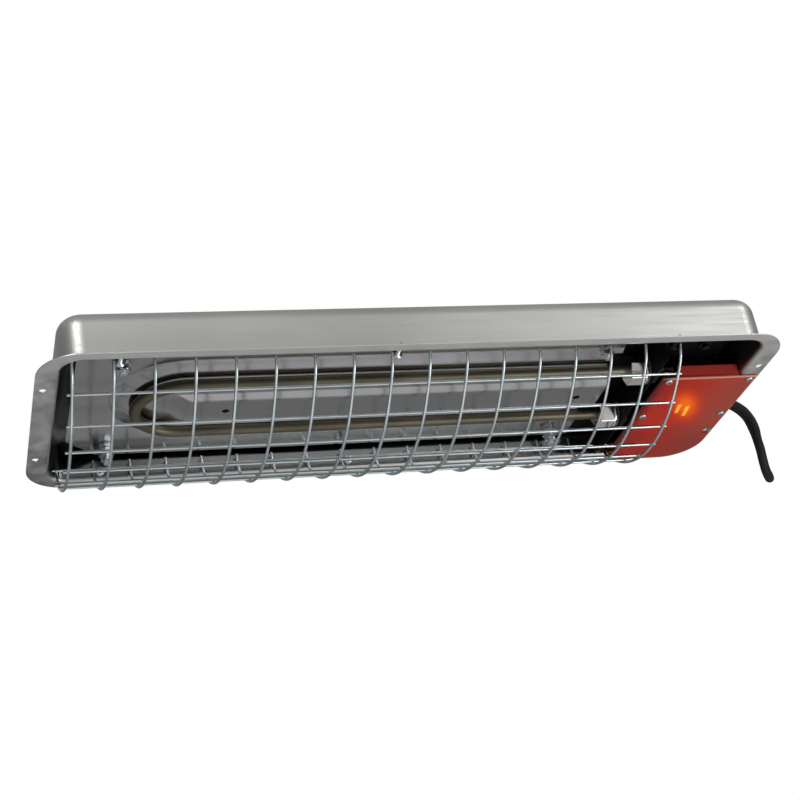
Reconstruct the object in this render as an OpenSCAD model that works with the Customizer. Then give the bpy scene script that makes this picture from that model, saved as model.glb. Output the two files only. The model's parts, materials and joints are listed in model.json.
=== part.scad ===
// Hanging infrared heat lamp warmer: a drawn steel pan, mouth down, with a U-shaped tubular element.
// Millimetres, +Z up. X runs along the pan, the cord end is +X. The flange's lower face is Z = 0.
// The origin is the middle of the four hanging holes in the end flanges.

/* [Pan] */
// Length over the flange
flange_l = 506; // [440:1:600]
// Width over the flange
flange_w = 188; // [170:1:230]
// Corner radius of the flange
flange_r = 28; // [22:1:40]
// Width of the flange at the two ends
end_lip = 14; // [12:0.5:16]
// Width of the flange along the two long sides
side_lip = 8.5; // [7:0.5:12]
// Thickness of the pan's sheet
sheet_t = 1; // [0.8:0.1:1.5]
// Height from the flange's lower face to the pan's back
pan_h = 38; // [37:1:60]
// Radius of the rim where the wall turns into the back
back_r = 12; // [6:0.5:13]
// Corner radius of the pan's walls
pan_r = 16; // [14:0.5:17]
// Radius of the pan's mouth, where the wall turns out into the flange
mouth_r = 3; // [2.5:0.5:4]

/* [Hanging holes] */
// Distance between the hole pairs along the pan
hang_l = 495; // [494:0.5:496]
// Distance between the holes of one pair
hang_w = 97; // [80:1:110]
// Hole diameter
hang_d = 4.5; // [3:0.1:5.5]

/* [Reflector] */
// Height of the reflector's lower face over the element
reflector_z = 13.5; // [13.5:0.25:14]
// How far the reflector's border stands above that face
border_rise = 3.5; // [2:0.5:4]
// Width of the slope between that face and the border
slope_w = 12; // [8:1:14]
// Thickness of the reflector sheet
reflector_t = 0.8; // [0.5:0.1:1.2]
// Gap between the reflector's left edge and the pan's end wall
reflector_gap = 12; // [8:1:22]
// Gap between the reflector's right edge and the bulkhead
reflector_stop = 20; // [18:1:30]
// Gap between the reflector's long edges and the pan's walls
reflector_side = 5.5; // [5:0.5:8]
// Leg of the cut-off corners at the left end
corner_cut = 22; // [10:1:30]
// Depth of the notches that clear the element fittings
notch_depth = 8; // [4:1:14]
// Width of those notches
notch_w = 24; // [23:1:28]
// Width of the pressed ridge at the sheet
ridge_w = 40; // [30:1:44]
// Width of the ridge's flat
ridge_flat = 26; // [16:1:28]
// Height of the ridge
ridge_h = 4; // [3:0.5:5]
// Diameter of the two holes in the ridge
ridge_hole = 5; // [3:0.5:7]
// Length of the slope at the ridge's left end
ridge_slope = 14; // [8:1:20]

/* [Studs] */
// Stud diameter
stud_d = 5; // [4:0.5:6]
// Distance between the two rows of reflector studs
stud_w = 127; // [110:1:128]
// Nut size across flats
nut_af = 8; // [7.5:0.5:10]
// Nut height
nut_h = 4; // [3:0.5:5]
// Washer diameter
washer_d = 11; // [10:0.5:13]
// Washer thickness
washer_t = 1; // [0.8:0.1:1.5]
// Stud end that stands out of the nut
stud_tip = 2.5; // [2:0.5:3]

/* [Element] */
// Diameter of the tubular sheath
tube_d = 8; // [6.5:0.1:8.5]
// Distance between the two legs
leg_w = 65; // [60:1:72]
// Height of the tube's centre above the flange
element_z = 8.5; // [8:0.25:8.5]
// Clear length between the U-bend and the pan's end wall
bend_gap = 49; // [45:1:70]
// Fitting hexagon across flats
hex_af = 19; // [17:0.5:21]
// Length of the fitting's hexagon
hex_l = 11; // [8:0.5:13]
// Diameter of the fitting's collar
collar_d = 21; // [20:0.5:23]
// Thickness of the fitting's collar
collar_t = 2; // [1.5:0.1:3]
// Diameter of the fitting's screw end
screw_end_d = 14; // [12:0.5:15]
// Thickness of the sealing gasket
gasket_t = 1.5; // [1:0.1:2]
// Height of the lock nut
lock_h = 6; // [4:0.5:6]
// Lock nut across flats
lock_af = 17; // [16.5:0.5:17]

/* [Terminal end] */
// Distance from the bulkhead to the pan's right end wall
terminal_l = 70; // [68:1:90]
// Thickness of the bulkhead's sheet
bulkhead_t = 1.2; // [1:0.1:1.5]
// Height of the black tray above the flange
tray_z = 20; // [20:0.5:21]
// Thickness of the red cover
cover_t = 1.5; // [1:0.1:2]
// Distance from the pan's middle line to the cover's folded edge
cover_fold = 37; // [36:0.5:39]
// Height of the cover's folded edge
fold_h = 9; // [6:0.5:10]
// Distance between the cover screws across the pan
cover_screw_w = 52; // [48:1:54]
// Distance from the folded edge to the near pair of cover screws
cover_screw_in = 3.8; // [3.5:0.1:5]
// Shank diameter of the cover screws
cover_screw_d = 3; // [2.5:0.1:3.5]
// Outer diameter of the neon lamp's glass
lamp_d = 10; // [9:0.2:11]
// Length of the neon lamp's glass
lamp_l = 30; // [26:1:32]

/* [Guard] */
// Wire diameter
wire_d = 2; // [1.6:0.1:2.4]
// Distance between the cross wires
cross_pitch = 25.4; // [20:0.1:32]
// Number of long wires
long_n = 9; // [7:2:11]
// How far the guard hangs below the flange
guard_drop = 36; // [32:1:44]
// Radius of the guard's two shoulders
shoulder_r = 25; // [18:1:28]
// Gap between the first cross wire and the pan's left end wall
guard_gap = 5.5; // [5:0.5:12]
// Gap between the guard's edges and the pan's long walls
guard_side = 3; // [2.8:0.1:4]
// Shank diameter of the guard screws
guard_screw_d = 3; // [2.5:0.1:3.5]

/* [Cord] */
// Cord diameter
cord_d = 7; // [6:0.1:8]
// Length of the strain relief outside the pan
relief_l = 15; // [15:1:16]
// Length of the strain relief inside the pan
relief_in = 4; // [4:0.5:5]
// Full turns in each layer of the coil
coil_turns = 3; // [2:1:4]

/* [Hidden] */
$fn = 48;

// Overshoot of a cut past the face that it opens
eps = 0.5;
// Room between a fastener and its clearance hole
hole_room = 0.4;
// Room between pieces that must not touch
clear = 0.3;
// Depth that a spot weld sinks one guard wire into the other
weld_sink = 0.2;

// Pan
wall_x = flange_l / 2 - end_lip;
wall_y = flange_w / 2 - side_lip;
inner_x = wall_x - sheet_t;
inner_y = wall_y - sheet_t;
back_in = pan_h - sheet_t;

// Bulkhead and what is placed from it
bulkhead_x = inner_x - terminal_l;
bulkhead_side = 15;
bulkhead_y = inner_y - bulkhead_side;
web_drop = 3;
tray_end_gap = 10;
tray_side_gap = 5;
tray_overhang = 10;
tray_right = inner_x - tray_end_gap;
tray_left = bulkhead_x - reflector_stop - tray_overhang;
tray_y = inner_y - tray_side_gap;
rail_w = 12;
rail_far = 50;
rail_legs = [-14, 44];

// Element, a little to the near side of the middle line as in the photograph
element_y = -1.5;
leg_ys = [element_y - leg_w / 2, element_y + leg_w / 2];
bend_x = -inner_x + bend_gap + tube_d / 2 + leg_w / 2;
gasket_x = bulkhead_x - gasket_t;
collar_x = gasket_x - collar_t;
hex_x = collar_x - hex_l;
lock_x = bulkhead_x + bulkhead_t;
screw_end_x = lock_x + lock_h + 1;
sheath_end_x = screw_end_x + 1;
insulator_l = 4;
insulator_d = tube_d - 2;
pin_d = 3;
pin_l = 6;
pin_end_x = sheath_end_x + insulator_l + pin_l;

// Reflector: a border, and a long round-ended field pressed down over the element with a ridge inside it
reflector_x0 = -inner_x + reflector_gap;
reflector_x1 = bulkhead_x - reflector_stop;
reflector_y = inner_y - reflector_side;
border_z = reflector_z + border_rise;
field_r = leg_w / 2 + tube_d / 2 + 1;
slope_r = field_r + slope_w;
ridge_reach = 10;
ridge_x0 = bend_x - ridge_reach;
ridge_y = 6;
ridge_hole_left = 29;
ridge_hole_right = 18;
ridge_hole_xs = [bend_x + ridge_hole_left, reflector_x1 - ridge_hole_right];

// Studs: four carry the reflector, two carry the tray
stud_y = 7.5;
stud_inset_left = 28.5;
stud_inset_right = 16.5;
stud_xs = [reflector_x0 + stud_inset_left, reflector_x1 - stud_inset_right];
reflector_studs = [for (x = stud_xs, s = [-1, 1]) [x, stud_y + s * stud_w / 2, border_z, reflector_t]];
tray_stud_x = (bulkhead_x + inner_x) / 2;
stack_h = 2 * nut_h + washer_t;
tray_stud_y = 62;
tray_studs = [for (s = [-1, 1]) [tray_stud_x, s * tray_stud_y, tray_z, bulkhead_t]];
all_studs = concat(reflector_studs, tray_studs);

// Cover
cover_gap = 9;
cover_x0 = bulkhead_x + cover_gap;
cover_inset = 2;
cover_x1 = flange_l / 2 - cover_inset;
cover_y1 = flange_w / 2 - 2 * cover_inset;
cover_corner = flange_r - cover_inset;
fold_x0 = pin_end_x + 4;
cover_cut_x = 5;
cover_cut_y = 14;
cover_screw_left = cover_x0 + 7;
rail_x = cover_screw_left - rail_w / 2;
cover_screw_edge = 6.5;
cover_screw_right = flange_l / 2 - cover_screw_edge;
cover_screw_ys = [cover_screw_in - cover_fold, cover_screw_in - cover_fold + cover_screw_w];
cover_screws_at = [for (x = [cover_screw_left, cover_screw_right], y = cover_screw_ys) [x, y]];
cover_head_d = 6;
cover_head_tip = 4;
cover_head_h = 1.6;
cover_nut_af = 5.5;
cover_nut_h = 2;
cover_screw_tip = 0.3;
cover_hang_room = 2.5;

// Neon lamp and terminals
lamp_x = bulkhead_x + 51;
lamp_seat = 0.8;
lamp_y0 = 9;
lamp_z = lamp_d / 2 + lamp_seat;
lamp_wall = 0.6;
electrode_d = 1.3;
electrode_gap = 5.2;
electrode_l = 16;
electrode_inset = 5;
holder_l = 10;
holder_w = 12;
block_x = bulkhead_x + 44;
block_y = -14;
block_l = 26;
block_w = 22;
block_h = 12;
pole_gap = 11;
terminal_screw_d = 4;
terminal_screw_h = 1.5;
wire_hole_d = 4;
earth_x = lamp_x;
earth_y = 48;
earth_screw_d = 4;
earth_head_d = 7;
earth_head_h = 2.5;
earth_tip = 4;

// Guard profile: a wide arc between two shoulders that turn up beside the pan's long walls
guard_wall_y = inner_y - wire_d / 2 - guard_side;
guard_turn_z = 11;
shoulder_y = guard_wall_y - shoulder_r;
guard_rise = guard_turn_z + guard_drop - wire_d / 2;
cross_r = (pow(shoulder_y, 2) + pow(guard_rise, 2) - pow(shoulder_r, 2)) / (2 * (guard_rise - shoulder_r));
arc_z = guard_turn_z - guard_rise + cross_r;
arc_angle = asin(shoulder_y / (cross_r - shoulder_r));
guard_tab = 2;
bend_joints = [
    [cross_r * sin(arc_angle), arc_z - cross_r * cos(arc_angle)],
    [guard_wall_y, guard_turn_z]
];
// Swell of the wire at the ends of its bends
joint_swell = 0.06;
wire_offset = wire_d - weld_sink;
long_r = cross_r - wire_offset;
long_shoulder_r = shoulder_r - wire_offset;
long_edge_angle = 77;
wide_len = long_r * arc_angle * PI / 180;
edge_len = wide_len + long_shoulder_r * (long_edge_angle - arc_angle) * PI / 180;
long_pitch = edge_len / ((long_n - 1) / 2);
guard_x0 = -inner_x + guard_gap + wire_d / 2;
guard_over = 8;
guard_span = bulkhead_x + guard_over - guard_x0;
cross_n = floor(guard_span / cross_pitch + 0.01) + 1;
guard_x1 = guard_x0 + (cross_n - 1) * cross_pitch;
long_over = 3;

// A long wire's place on the profile at a distance along it from the middle
function on_wide(len) = let (a = len / long_r * 180 / PI) [long_r * sin(a), arc_z - long_r * cos(a)];
function on_shoulder(len) =
    let (a = arc_angle + (len - wide_len) / long_shoulder_r * 180 / PI)
    [shoulder_y + long_shoulder_r * sin(a), guard_turn_z - long_shoulder_r * cos(a)];
function long_place(k) =
    let (len = abs(k) * long_pitch, p = len <= wide_len ? on_wide(len) : on_shoulder(len))
    [k < 0 ? -p[0] : p[0], p[1]];

// Guard screws sit under the edge wires, which rest on their shanks
edge_wire = long_place((long_n - 1) / 2);
guard_screw_z = edge_wire[1] - wire_d / 2 - guard_screw_d / 2 - clear / 3;
guard_screw_side = 4;
guard_screw_xs = [
    guard_x0 + cross_pitch + guard_screw_side,
    guard_x0 + floor((cross_n - 1) / 2) * cross_pitch + guard_screw_side,
    guard_x1 - guard_screw_side
];
guard_head_d = 7;
guard_head_h = 2.5;
guard_head_y = edge_wire[0] - wire_d / 2;
guard_tip = 4;

// Strain relief and cord
exit_y = 38;
exit_z = 19;
route_x = wall_x + 3;
relief_flange_d = 14;
relief_flange_t = 2;
relief_neck_d = 11;
relief_tip_d = 9;
cord_sides = 10;
sheath_start = sheet_t + relief_in;
tie_t = 1.2;
tie_w = 6;
// The cord lies on the pan's back on top of the ties' straps
coil_z = pan_h + tie_t + clear + cord_d / 2;
lead_points = [
    [wall_x - sheath_start, exit_y, exit_z], [route_x + 2, exit_y, exit_z], [route_x + 12, exit_y, exit_z],
    [route_x + 19, 38, 18], [route_x + 26, 38, 15.5], [route_x + 32, 38, 11.5], [route_x + 36, 38, 7],
    [route_x + 39, 38, 0], [route_x + 40, 38, -7], [route_x + 40, 39, -14], [route_x + 42, 42, -22],
    [route_x + 44, 46, -27], [route_x + 48, 53, -33], [route_x + 54, 62, -35], [route_x + 60, 71, -33],
    [route_x + 64, 78, -27], [route_x + 66, 83, -20], [route_x + 68, 86, -7], [route_x + 68, 86, 5],
    [route_x + 67, 86, 16], [route_x + 64, 86, 28], [route_x + 56, 86, 37], [route_x + 43, 84, 42],
    [route_x + 24, 79, coil_z], [route_x, 71, coil_z], [route_x - 25, 65, coil_z], [route_x - 55, 62, coil_z],
    [route_x - 90, 62, coil_z], [route_x - 122, 62, coil_z]
];

// Coil: two layers of turns on the pan's back, wound in and out again
coil_room = 0.7;
coil_pitch = cord_d + coil_room;
coil_start = lead_points[len(lead_points) - 1];
coil_mid_r = 40;
coil_r1 = coil_mid_r + coil_turns / 2 * coil_pitch;
coil_r0 = coil_r1 - coil_turns * coil_pitch;
coil_x = coil_start[0] - cord_d;
coil_y = coil_start[1] - coil_r1;
rings_per_turn = 24;
coil_sides = 6;
all_turns = 2 * coil_turns;
coil_steps = all_turns * rings_per_turn;
climb_start = coil_turns - 0.25;
climb_turns = 0.5;

// Radius and lift of the coil's middle line after a number of turns: in, up a layer, and out again
function coil_radius(t) = coil_r1 - coil_pitch * min(t, all_turns - t);
function climbed(t) = max(0, min(1, (t - climb_start) / climb_turns));
function coil_lift(t) = (1 - cos(180 * climbed(t))) / 2;
function coil_point(t) = [
    coil_x - coil_radius(t) * sin(360 * t),
    coil_y + coil_radius(t) * cos(360 * t),
    coil_z + coil_pitch * coil_lift(t)
];
coil_points = concat(
    [coil_point(0) + [cord_d, 0, 0]],
    [for (i = [0 : coil_steps]) coil_point(i / rings_per_turn)],
    [coil_point(all_turns) - [cord_d, 0, 0]]
);
coil_end = coil_points[len(coil_points) - 1];
half_turn = rings_per_turn / 2;
coil_gap = min([for (i = [0 : coil_steps], j = [i + half_turn : 1 : coil_steps])
    norm(coil_points[i] - coil_points[j])]) - cord_d;
echo(coil_gap_mm = coil_gap);

// Plug: a rubber two-pin plug that lies on the pan's back beside the coil
plug_r = 18.5;
plug_z = pan_h + plug_r + clear;
tail_l = 66;
plug_x = coil_end[0] - tail_l;
plug_head_l = 17;
plug_grip_l = 26;
plug_tail_l = 12;
plug_grip_r = 12;
plug_tail_r = cord_d / 2 + 2;
plug_face_x = plug_x - plug_tail_l - plug_grip_l - plug_head_l;
plug_pin_d = 4.8;
plug_pin_l = 19;
plug_pin_gap = 19;
contact_w = 8;
contact_t = 0.8;
tail_points = [
    coil_end, coil_end - [cord_d, 0, 0], coil_end + [-16, 0, 1], coil_end + [-24, 0, 2.5],
    coil_end + [-33, 0, 4.5], coil_end + [-41, 0, 5.7], [plug_x + 16, coil_end[1], plug_z],
    [plug_x + cord_d, coil_end[1], plug_z], [plug_x, coil_end[1], plug_z]
];

// Swept round tube through a list of points, with rings square to the path
function unit(v) = v / norm(v);
function heading(p, i) = unit(p[min(i + 1, len(p) - 1)] - p[max(i - 1, 0)]);
function ring(p, i, d, sides, ref) =
    let (t = heading(p, i), n = unit(cross(t, ref)), b = cross(t, n))
    [for (k = [0 : sides - 1]) p[i] + d / 2 * (cos(360 * k / sides) * n + sin(360 * k / sides) * b)];

module swept_tube(p, d, sides, ref) {
    rings = len(p);
    points = concat([for (i = [0 : rings - 1]) each ring(p, i, d, sides, ref)], [p[0], p[rings - 1]]);
    start = rings * sides;
    walls = [for (i = [0 : rings - 2], k = [0 : sides - 1])
        let (a = i * sides + k, b = i * sides + (k + 1) % sides)
        each [[a, a + sides, b], [b, a + sides, b + sides]]];
    caps = [for (k = [0 : sides - 1]) each [
        [start, k, (k + 1) % sides],
        [start + 1, (rings - 1) * sides + (k + 1) % sides, (rings - 1) * sides + k]
    ]];
    polyhedron(points, concat(walls, caps));
}

// Rods along X and along Y, from a start point
module rod_x(d, l) { rotate([0, 90, 0]) cylinder(d = d, h = l); }
module rod_y(d, l) { rotate([-90, 0, 0]) cylinder(d = d, h = l); }
module hex_x(af, l) { rotate([0, 90, 0]) rotate(30) cylinder(d = af / cos(30), h = l, $fn = 6); }
module hex_z(af, l) { cylinder(d = af / cos(30), h = l, $fn = 6); }

// Rectangle with round corners, given by half sizes
module round_rect(hx, hy, r) {
    square([2 * hx, 2 * (hy - r)], center = true);
    square([2 * (hx - r), 2 * hy], center = true);
    for (x = [-1, 1], y = [-1, 1]) translate([x * (hx - r), y * (hy - r)]) circle(r);
}

// Section of the pan across one axis, with the back's two edges rounded
module pan_section(h, top, f) {
    translate([-h, 0]) square([2 * h, top - f]);
    translate([f - h, 0]) square([2 * (h - f), top]);
    for (s = [-1, 1]) translate([s * (h - f), top - f]) circle(f);
}

// Solid pan form: straight runs along both axes and four turned corners
module pan_form(hx, hy, r, top, f) {
    rotate([90, 0, 90]) translate([0, 0, r - hx]) linear_extrude(2 * (hx - r)) pan_section(hy, top, f);
    rotate([90, 0, 0]) translate([0, 0, r - hy]) linear_extrude(2 * (hy - r)) pan_section(hx, top, f);
    for (x = [-1, 1], y = [-1, 1]) translate([x * (hx - r), y * (hy - r), 0]) rotate_extrude()
        intersection() {
            pan_section(r, top, f);
            square([r, top]);
        }
}

// A section swept round the walls, given as distance out from the wall and height
module along_wall(hx, hy, r) {
    for (s = [0, 1]) mirror([0, s, 0]) translate([r - hx, hy, 0]) rotate([90, 0, 90])
        linear_extrude(2 * (hx - r)) children();
    for (s = [0, 1]) mirror([s, 0, 0]) translate([hx, hy - r, 0]) rotate([90, 0, 0])
        linear_extrude(2 * (hy - r)) children();
    for (x = [-1, 1], y = [-1, 1]) translate([x * (hx - r), y * (hy - r), 0])
        rotate_extrude() translate([r, 0]) children();
}

// Section between a wall, a floor and the arc that joins them, carried past the wall and the floor
module corner_section(r, past) {
    difference() {
        translate([-past, -past]) square(r + past);
        translate([r, r]) circle(r);
    }
}

module housing_pan() {
    color("silver") difference() {
        union() {
            linear_extrude(sheet_t) round_rect(flange_l / 2, flange_w / 2, flange_r);
            pan_form(wall_x, wall_y, pan_r, pan_h, back_r);
            translate([0, 0, sheet_t]) along_wall(wall_x, wall_y, pan_r)
                corner_section(mouth_r - sheet_t, sheet_t / 2);
        }
        translate([0, 0, -eps]) linear_extrude(2 * eps) round_rect(inner_x, inner_y, pan_r - sheet_t);
        pan_form(inner_x, inner_y, pan_r - sheet_t, back_in, back_r - sheet_t);
        along_wall(inner_x, inner_y, pan_r - sheet_t) corner_section(mouth_r, eps);
        for (x = [-1, 1], y = [-1, 1]) translate([x * hang_l / 2, y * hang_w / 2, -eps])
            cylinder(d = hang_d, h = sheet_t + 2 * eps);
        for (y = cover_screw_ys) translate([cover_screw_right, y, -eps])
            cylinder(d = cover_screw_d + hole_room, h = sheet_t + 2 * eps);
        for (x = guard_screw_xs) translate([x, -wall_y - mouth_r, guard_screw_z])
            rod_y(guard_screw_d, 2 * (wall_y + mouth_r));
        translate([inner_x - eps, exit_y, exit_z]) rod_x(relief_neck_d, sheet_t + 2 * eps);
    }
}

// Outline of the reflector with two cut corners at the left
module reflector_outline() {
    polygon([
        [reflector_x0, corner_cut - reflector_y], [reflector_x0 + corner_cut, -reflector_y],
        [reflector_x1, -reflector_y], [reflector_x1, reflector_y],
        [reflector_x0 + corner_cut, reflector_y], [reflector_x0, reflector_y - corner_cut]
    ]);
}

// Outline with a round left end about the element's bend, open to the right
module field_outline(r) {
    translate([bend_x, element_y]) circle(r);
    translate([bend_x, element_y - r]) square([reflector_x1 + eps - bend_x, 2 * r]);
}

// Half section of the pressed field: flat over the element, a slope, and a lap onto the border
module field_section() {
    polygon([
        [0, reflector_z], [field_r, reflector_z], [slope_r, border_z], [slope_r + eps, border_z],
        [slope_r + eps, border_z + reflector_t], [slope_r, border_z + reflector_t],
        [field_r, reflector_z + reflector_t], [0, reflector_z + reflector_t]
    ]);
}

module pressed_field() {
    translate([bend_x, element_y, 0]) rotate(90) rotate_extrude(angle = 180) field_section();
    translate([bend_x, element_y, 0]) rotate([90, 0, 90]) linear_extrude(reflector_x1 - bend_x) {
        field_section();
        mirror([1, 0]) field_section();
    }
}

// Ridge body: its cross section and its side view, each with sloping sides, carried through each other
module ridge_body(low, high, end) {
    intersection() {
        translate([ridge_x0 - eps, ridge_y, 0]) rotate([90, 0, 90]) linear_extrude(end + eps - ridge_x0)
            polygon([
                [-ridge_w / 2, high], [-ridge_w / 2, low + ridge_h], [-ridge_flat / 2, low],
                [ridge_flat / 2, low], [ridge_w / 2, low + ridge_h], [ridge_w / 2, high]
            ]);
        translate([0, ridge_y + ridge_w, 0]) rotate([90, 0, 0]) linear_extrude(2 * ridge_w)
            polygon([
                [ridge_x0, high], [ridge_x0, low + ridge_h], [ridge_x0 + ridge_slope, low],
                [end, low], [end, high]
            ]);
    }
}

module reflector() {
    ridge_z = reflector_z - ridge_h;
    reach = border_z + reflector_t + eps;
    color("gainsboro") difference() {
        union() {
            translate([0, 0, border_z]) linear_extrude(reflector_t) difference() {
                reflector_outline();
                field_outline(slope_r);
            }
            pressed_field();
            ridge_body(ridge_z, reflector_z + reflector_t, reflector_x1);
        }
        translate([0, 0, reflector_t]) ridge_body(ridge_z, reach, reflector_x1 + eps);
        for (y = leg_ys) translate([reflector_x1 - notch_depth, y - notch_w / 2, ridge_z - eps])
            cube([notch_depth + eps, notch_w, reach - ridge_z + eps]);
        for (x = ridge_hole_xs) translate([x, ridge_y, ridge_z - eps]) cylinder(d = ridge_hole, h = ridge_h);
        for (s = reflector_studs) translate([s[0], s[1], border_z - eps])
            cylinder(d = stud_d + hole_room, h = reflector_t + 2 * eps);
    }
}

module mounting_studs() {
    color("lightgray") for (s = all_studs) {
        low = s[2] - stack_h - stud_tip;
        translate([s[0], s[1], low]) cylinder(d = stud_d, h = back_in - low);
    }
}

module stud_nut() {
    difference() {
        hex_z(nut_af, nut_h);
        translate([0, 0, -eps]) cylinder(d = stud_d, h = nut_h + 2 * eps);
    }
}

module stud_backing_nuts() {
    color("darkgray") for (s = all_studs) translate([s[0], s[1], s[2] + s[3]]) stud_nut();
}

// Under the sheet each stud has a nut, a washer and a second nut
module stud_nuts() {
    color("gray") for (s = all_studs, z = [nut_h, stack_h]) translate([s[0], s[1], s[2] - z]) stud_nut();
}

module stud_washers() {
    color("silver") for (s = all_studs) translate([s[0], s[1], s[2] - nut_h - washer_t]) difference() {
        cylinder(d = washer_d, h = washer_t);
        translate([0, 0, -eps]) cylinder(d = stud_d + hole_room, h = washer_t + 2 * eps);
    }
}

module heating_element() {
    color("darkkhaki") {
        for (y = leg_ys) translate([bend_x, y, element_z]) rod_x(tube_d, sheath_end_x - bend_x);
        translate([bend_x, element_y, element_z]) rotate(90) rotate_extrude(angle = 180)
            translate([leg_w / 2, 0]) circle(d = tube_d);
    }
}

module element_fittings() {
    color("gold") for (y = leg_ys) translate([0, y, element_z]) difference() {
        union() {
            translate([hex_x, 0, 0]) hex_x(hex_af, hex_l + collar_t / 2);
            translate([collar_x, 0, 0]) rod_x(collar_d, collar_t);
            translate([hex_x, 0, 0]) rod_x(screw_end_d, screw_end_x - hex_x);
        }
        translate([hex_x - eps, 0, 0]) rod_x(tube_d, screw_end_x - hex_x + 2 * eps);
    }
}

module element_gaskets() {
    color("beige") for (y = leg_ys) translate([gasket_x, y, element_z]) difference() {
        rod_x(collar_d, gasket_t);
        translate([-eps, 0, 0]) rod_x(screw_end_d, gasket_t + 2 * eps);
    }
}

module element_lock_nuts() {
    color("goldenrod") for (y = leg_ys) translate([lock_x, y, element_z]) difference() {
        hex_x(lock_af, lock_h);
        translate([-eps, 0, 0]) rod_x(screw_end_d, lock_h + 2 * eps);
    }
}

module element_insulators() {
    color("white") for (y = leg_ys) translate([sheath_end_x, y, element_z]) difference() {
        rod_x(insulator_d, insulator_l);
        translate([-eps, 0, 0]) rod_x(pin_d, insulator_l + 2 * eps);
    }
}

module element_terminal_pins() {
    color("lightsteelblue") for (y = leg_ys) translate([sheath_end_x, y, element_z])
        rod_x(pin_d, insulator_l + pin_l);
}

// Black sheet part: tray above, web that carries the fittings, and a rail under the cover's left edge
module bulkhead_tray() {
    rail_near = -cover_fold - cover_t;
    color("dimgray") difference() {
        union() {
            translate([tray_left, -tray_y, tray_z]) cube([tray_right - tray_left, 2 * tray_y, bulkhead_t]);
            translate([bulkhead_x, -bulkhead_y, -web_drop])
                cube([bulkhead_t, 2 * bulkhead_y, tray_z + web_drop + bulkhead_t / 2]);
            translate([rail_x, rail_near, 0]) cube([rail_w, rail_far - rail_near, bulkhead_t]);
            for (y = rail_legs) translate([rail_x, y, 0]) cube([rail_w, bulkhead_t, tray_z + bulkhead_t / 2]);
        }
        for (y = leg_ys) translate([bulkhead_x - eps, y, element_z])
            rod_x(screw_end_d, bulkhead_t + 2 * eps);
        for (s = tray_studs) translate([s[0], s[1], tray_z - eps])
            cylinder(d = stud_d + hole_room, h = bulkhead_t + 2 * eps);
        for (y = cover_screw_ys) translate([cover_screw_left, y, -eps])
            cylinder(d = cover_screw_d + hole_room, h = bulkhead_t + 2 * eps);
        translate([earth_x, earth_y, tray_z - eps]) cylinder(d = earth_screw_d, h = bulkhead_t + 2 * eps);
    }
}

// Red cover: a flat plate over the terminal end, with its near edge folded up into the pan and a notch
// that leaves one hanging hole free
module terminal_cover() {
    color("red", 0.7) difference() {
        union() {
            translate([0, 0, -cover_t]) linear_extrude(cover_t) {
                translate([cover_x0, -cover_fold])
                    square([cover_x1 - cover_x0, cover_y1 - cover_corner + cover_fold]);
                translate([cover_x0, -cover_fold])
                    square([cover_x1 - cover_corner - cover_x0, cover_y1 + cover_fold]);
                translate([cover_x1 - cover_corner, cover_y1 - cover_corner]) circle(cover_corner);
            }
            translate([fold_x0, -cover_fold, -cover_t])
                cube([inner_x - clear - fold_x0, cover_t, cover_t + fold_h]);
        }
        translate([cover_x0 - eps, inner_y - cover_cut_y, -cover_t - eps])
            cube([cover_cut_x + eps, cover_cut_y + side_lip + sheet_t + eps, cover_t + 2 * eps]);
        for (p = cover_screws_at) translate([p[0], p[1], -cover_t - eps])
            cylinder(d = cover_screw_d + hole_room, h = cover_t + 2 * eps);
        translate([hang_l / 2, hang_w / 2, -cover_t - eps]) {
            cylinder(d = hang_d + cover_hang_room, h = cover_t + 2 * eps);
            translate([0, -(hang_d + cover_hang_room) / 2, 0])
                cube([end_lip, hang_d + cover_hang_room, cover_t + 2 * eps]);
        }
    }
}

module cover_screws() {
    color("silver") for (p = cover_screws_at) translate([p[0], p[1], -cover_t]) {
        translate([0, 0, -cover_head_h]) cylinder(d1 = cover_head_tip, d2 = cover_head_d, h = cover_head_h);
        cylinder(d = cover_screw_d, h = cover_t + bulkhead_t + cover_nut_h + cover_screw_tip);
    }
}

module cover_screw_nuts() {
    color("gray") for (p = cover_screws_at) {
        seat = p[0] > inner_x ? sheet_t : bulkhead_t;
        translate([p[0], p[1], seat]) difference() {
            hex_z(cover_nut_af, cover_nut_h);
            translate([0, 0, -eps]) cylinder(d = cover_screw_d, h = cover_nut_h + 2 * eps);
        }
    }
}

module neon_lamp_glass() {
    color("orange", 0.5) translate([lamp_x, lamp_y0, lamp_z]) difference() {
        rod_y(lamp_d, lamp_l);
        translate([0, -eps, 0]) rod_y(lamp_d - 2 * lamp_wall, lamp_l - lamp_wall + eps);
    }
}

module neon_electrodes() {
    color("orangered") for (s = [-1, 1])
        translate([lamp_x + s * electrode_gap / 2, lamp_y0 - holder_l, lamp_z])
            rod_y(electrode_d, holder_l + electrode_inset + electrode_l);
}

module neon_holder() {
    color("white") difference() {
        translate([lamp_x - holder_w / 2, lamp_y0 - holder_l, lamp_z - lamp_d / 2])
            cube([holder_w, holder_l, tray_z - lamp_z + lamp_d / 2]);
        for (s = [-1, 1]) translate([lamp_x + s * electrode_gap / 2, lamp_y0 - holder_l - eps, lamp_z])
            rod_y(electrode_d, holder_l + 2 * eps);
    }
}

module terminal_block() {
    color("ivory") translate([block_x - block_l / 2, block_y - block_w / 2, tray_z - block_h]) difference() {
        cube([block_l, block_w, block_h]);
        for (s = [-1, 1]) translate([-eps, block_w / 2 + s * pole_gap / 2, block_h / 2])
            rod_x(wire_hole_d, block_l + 2 * eps);
        for (s = [-1, 1], x = [1, 3]) translate([x * block_l / 4, block_w / 2 + s * pole_gap / 2, -eps])
            cylinder(d = terminal_screw_d, h = terminal_screw_h + eps);
    }
}

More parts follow.
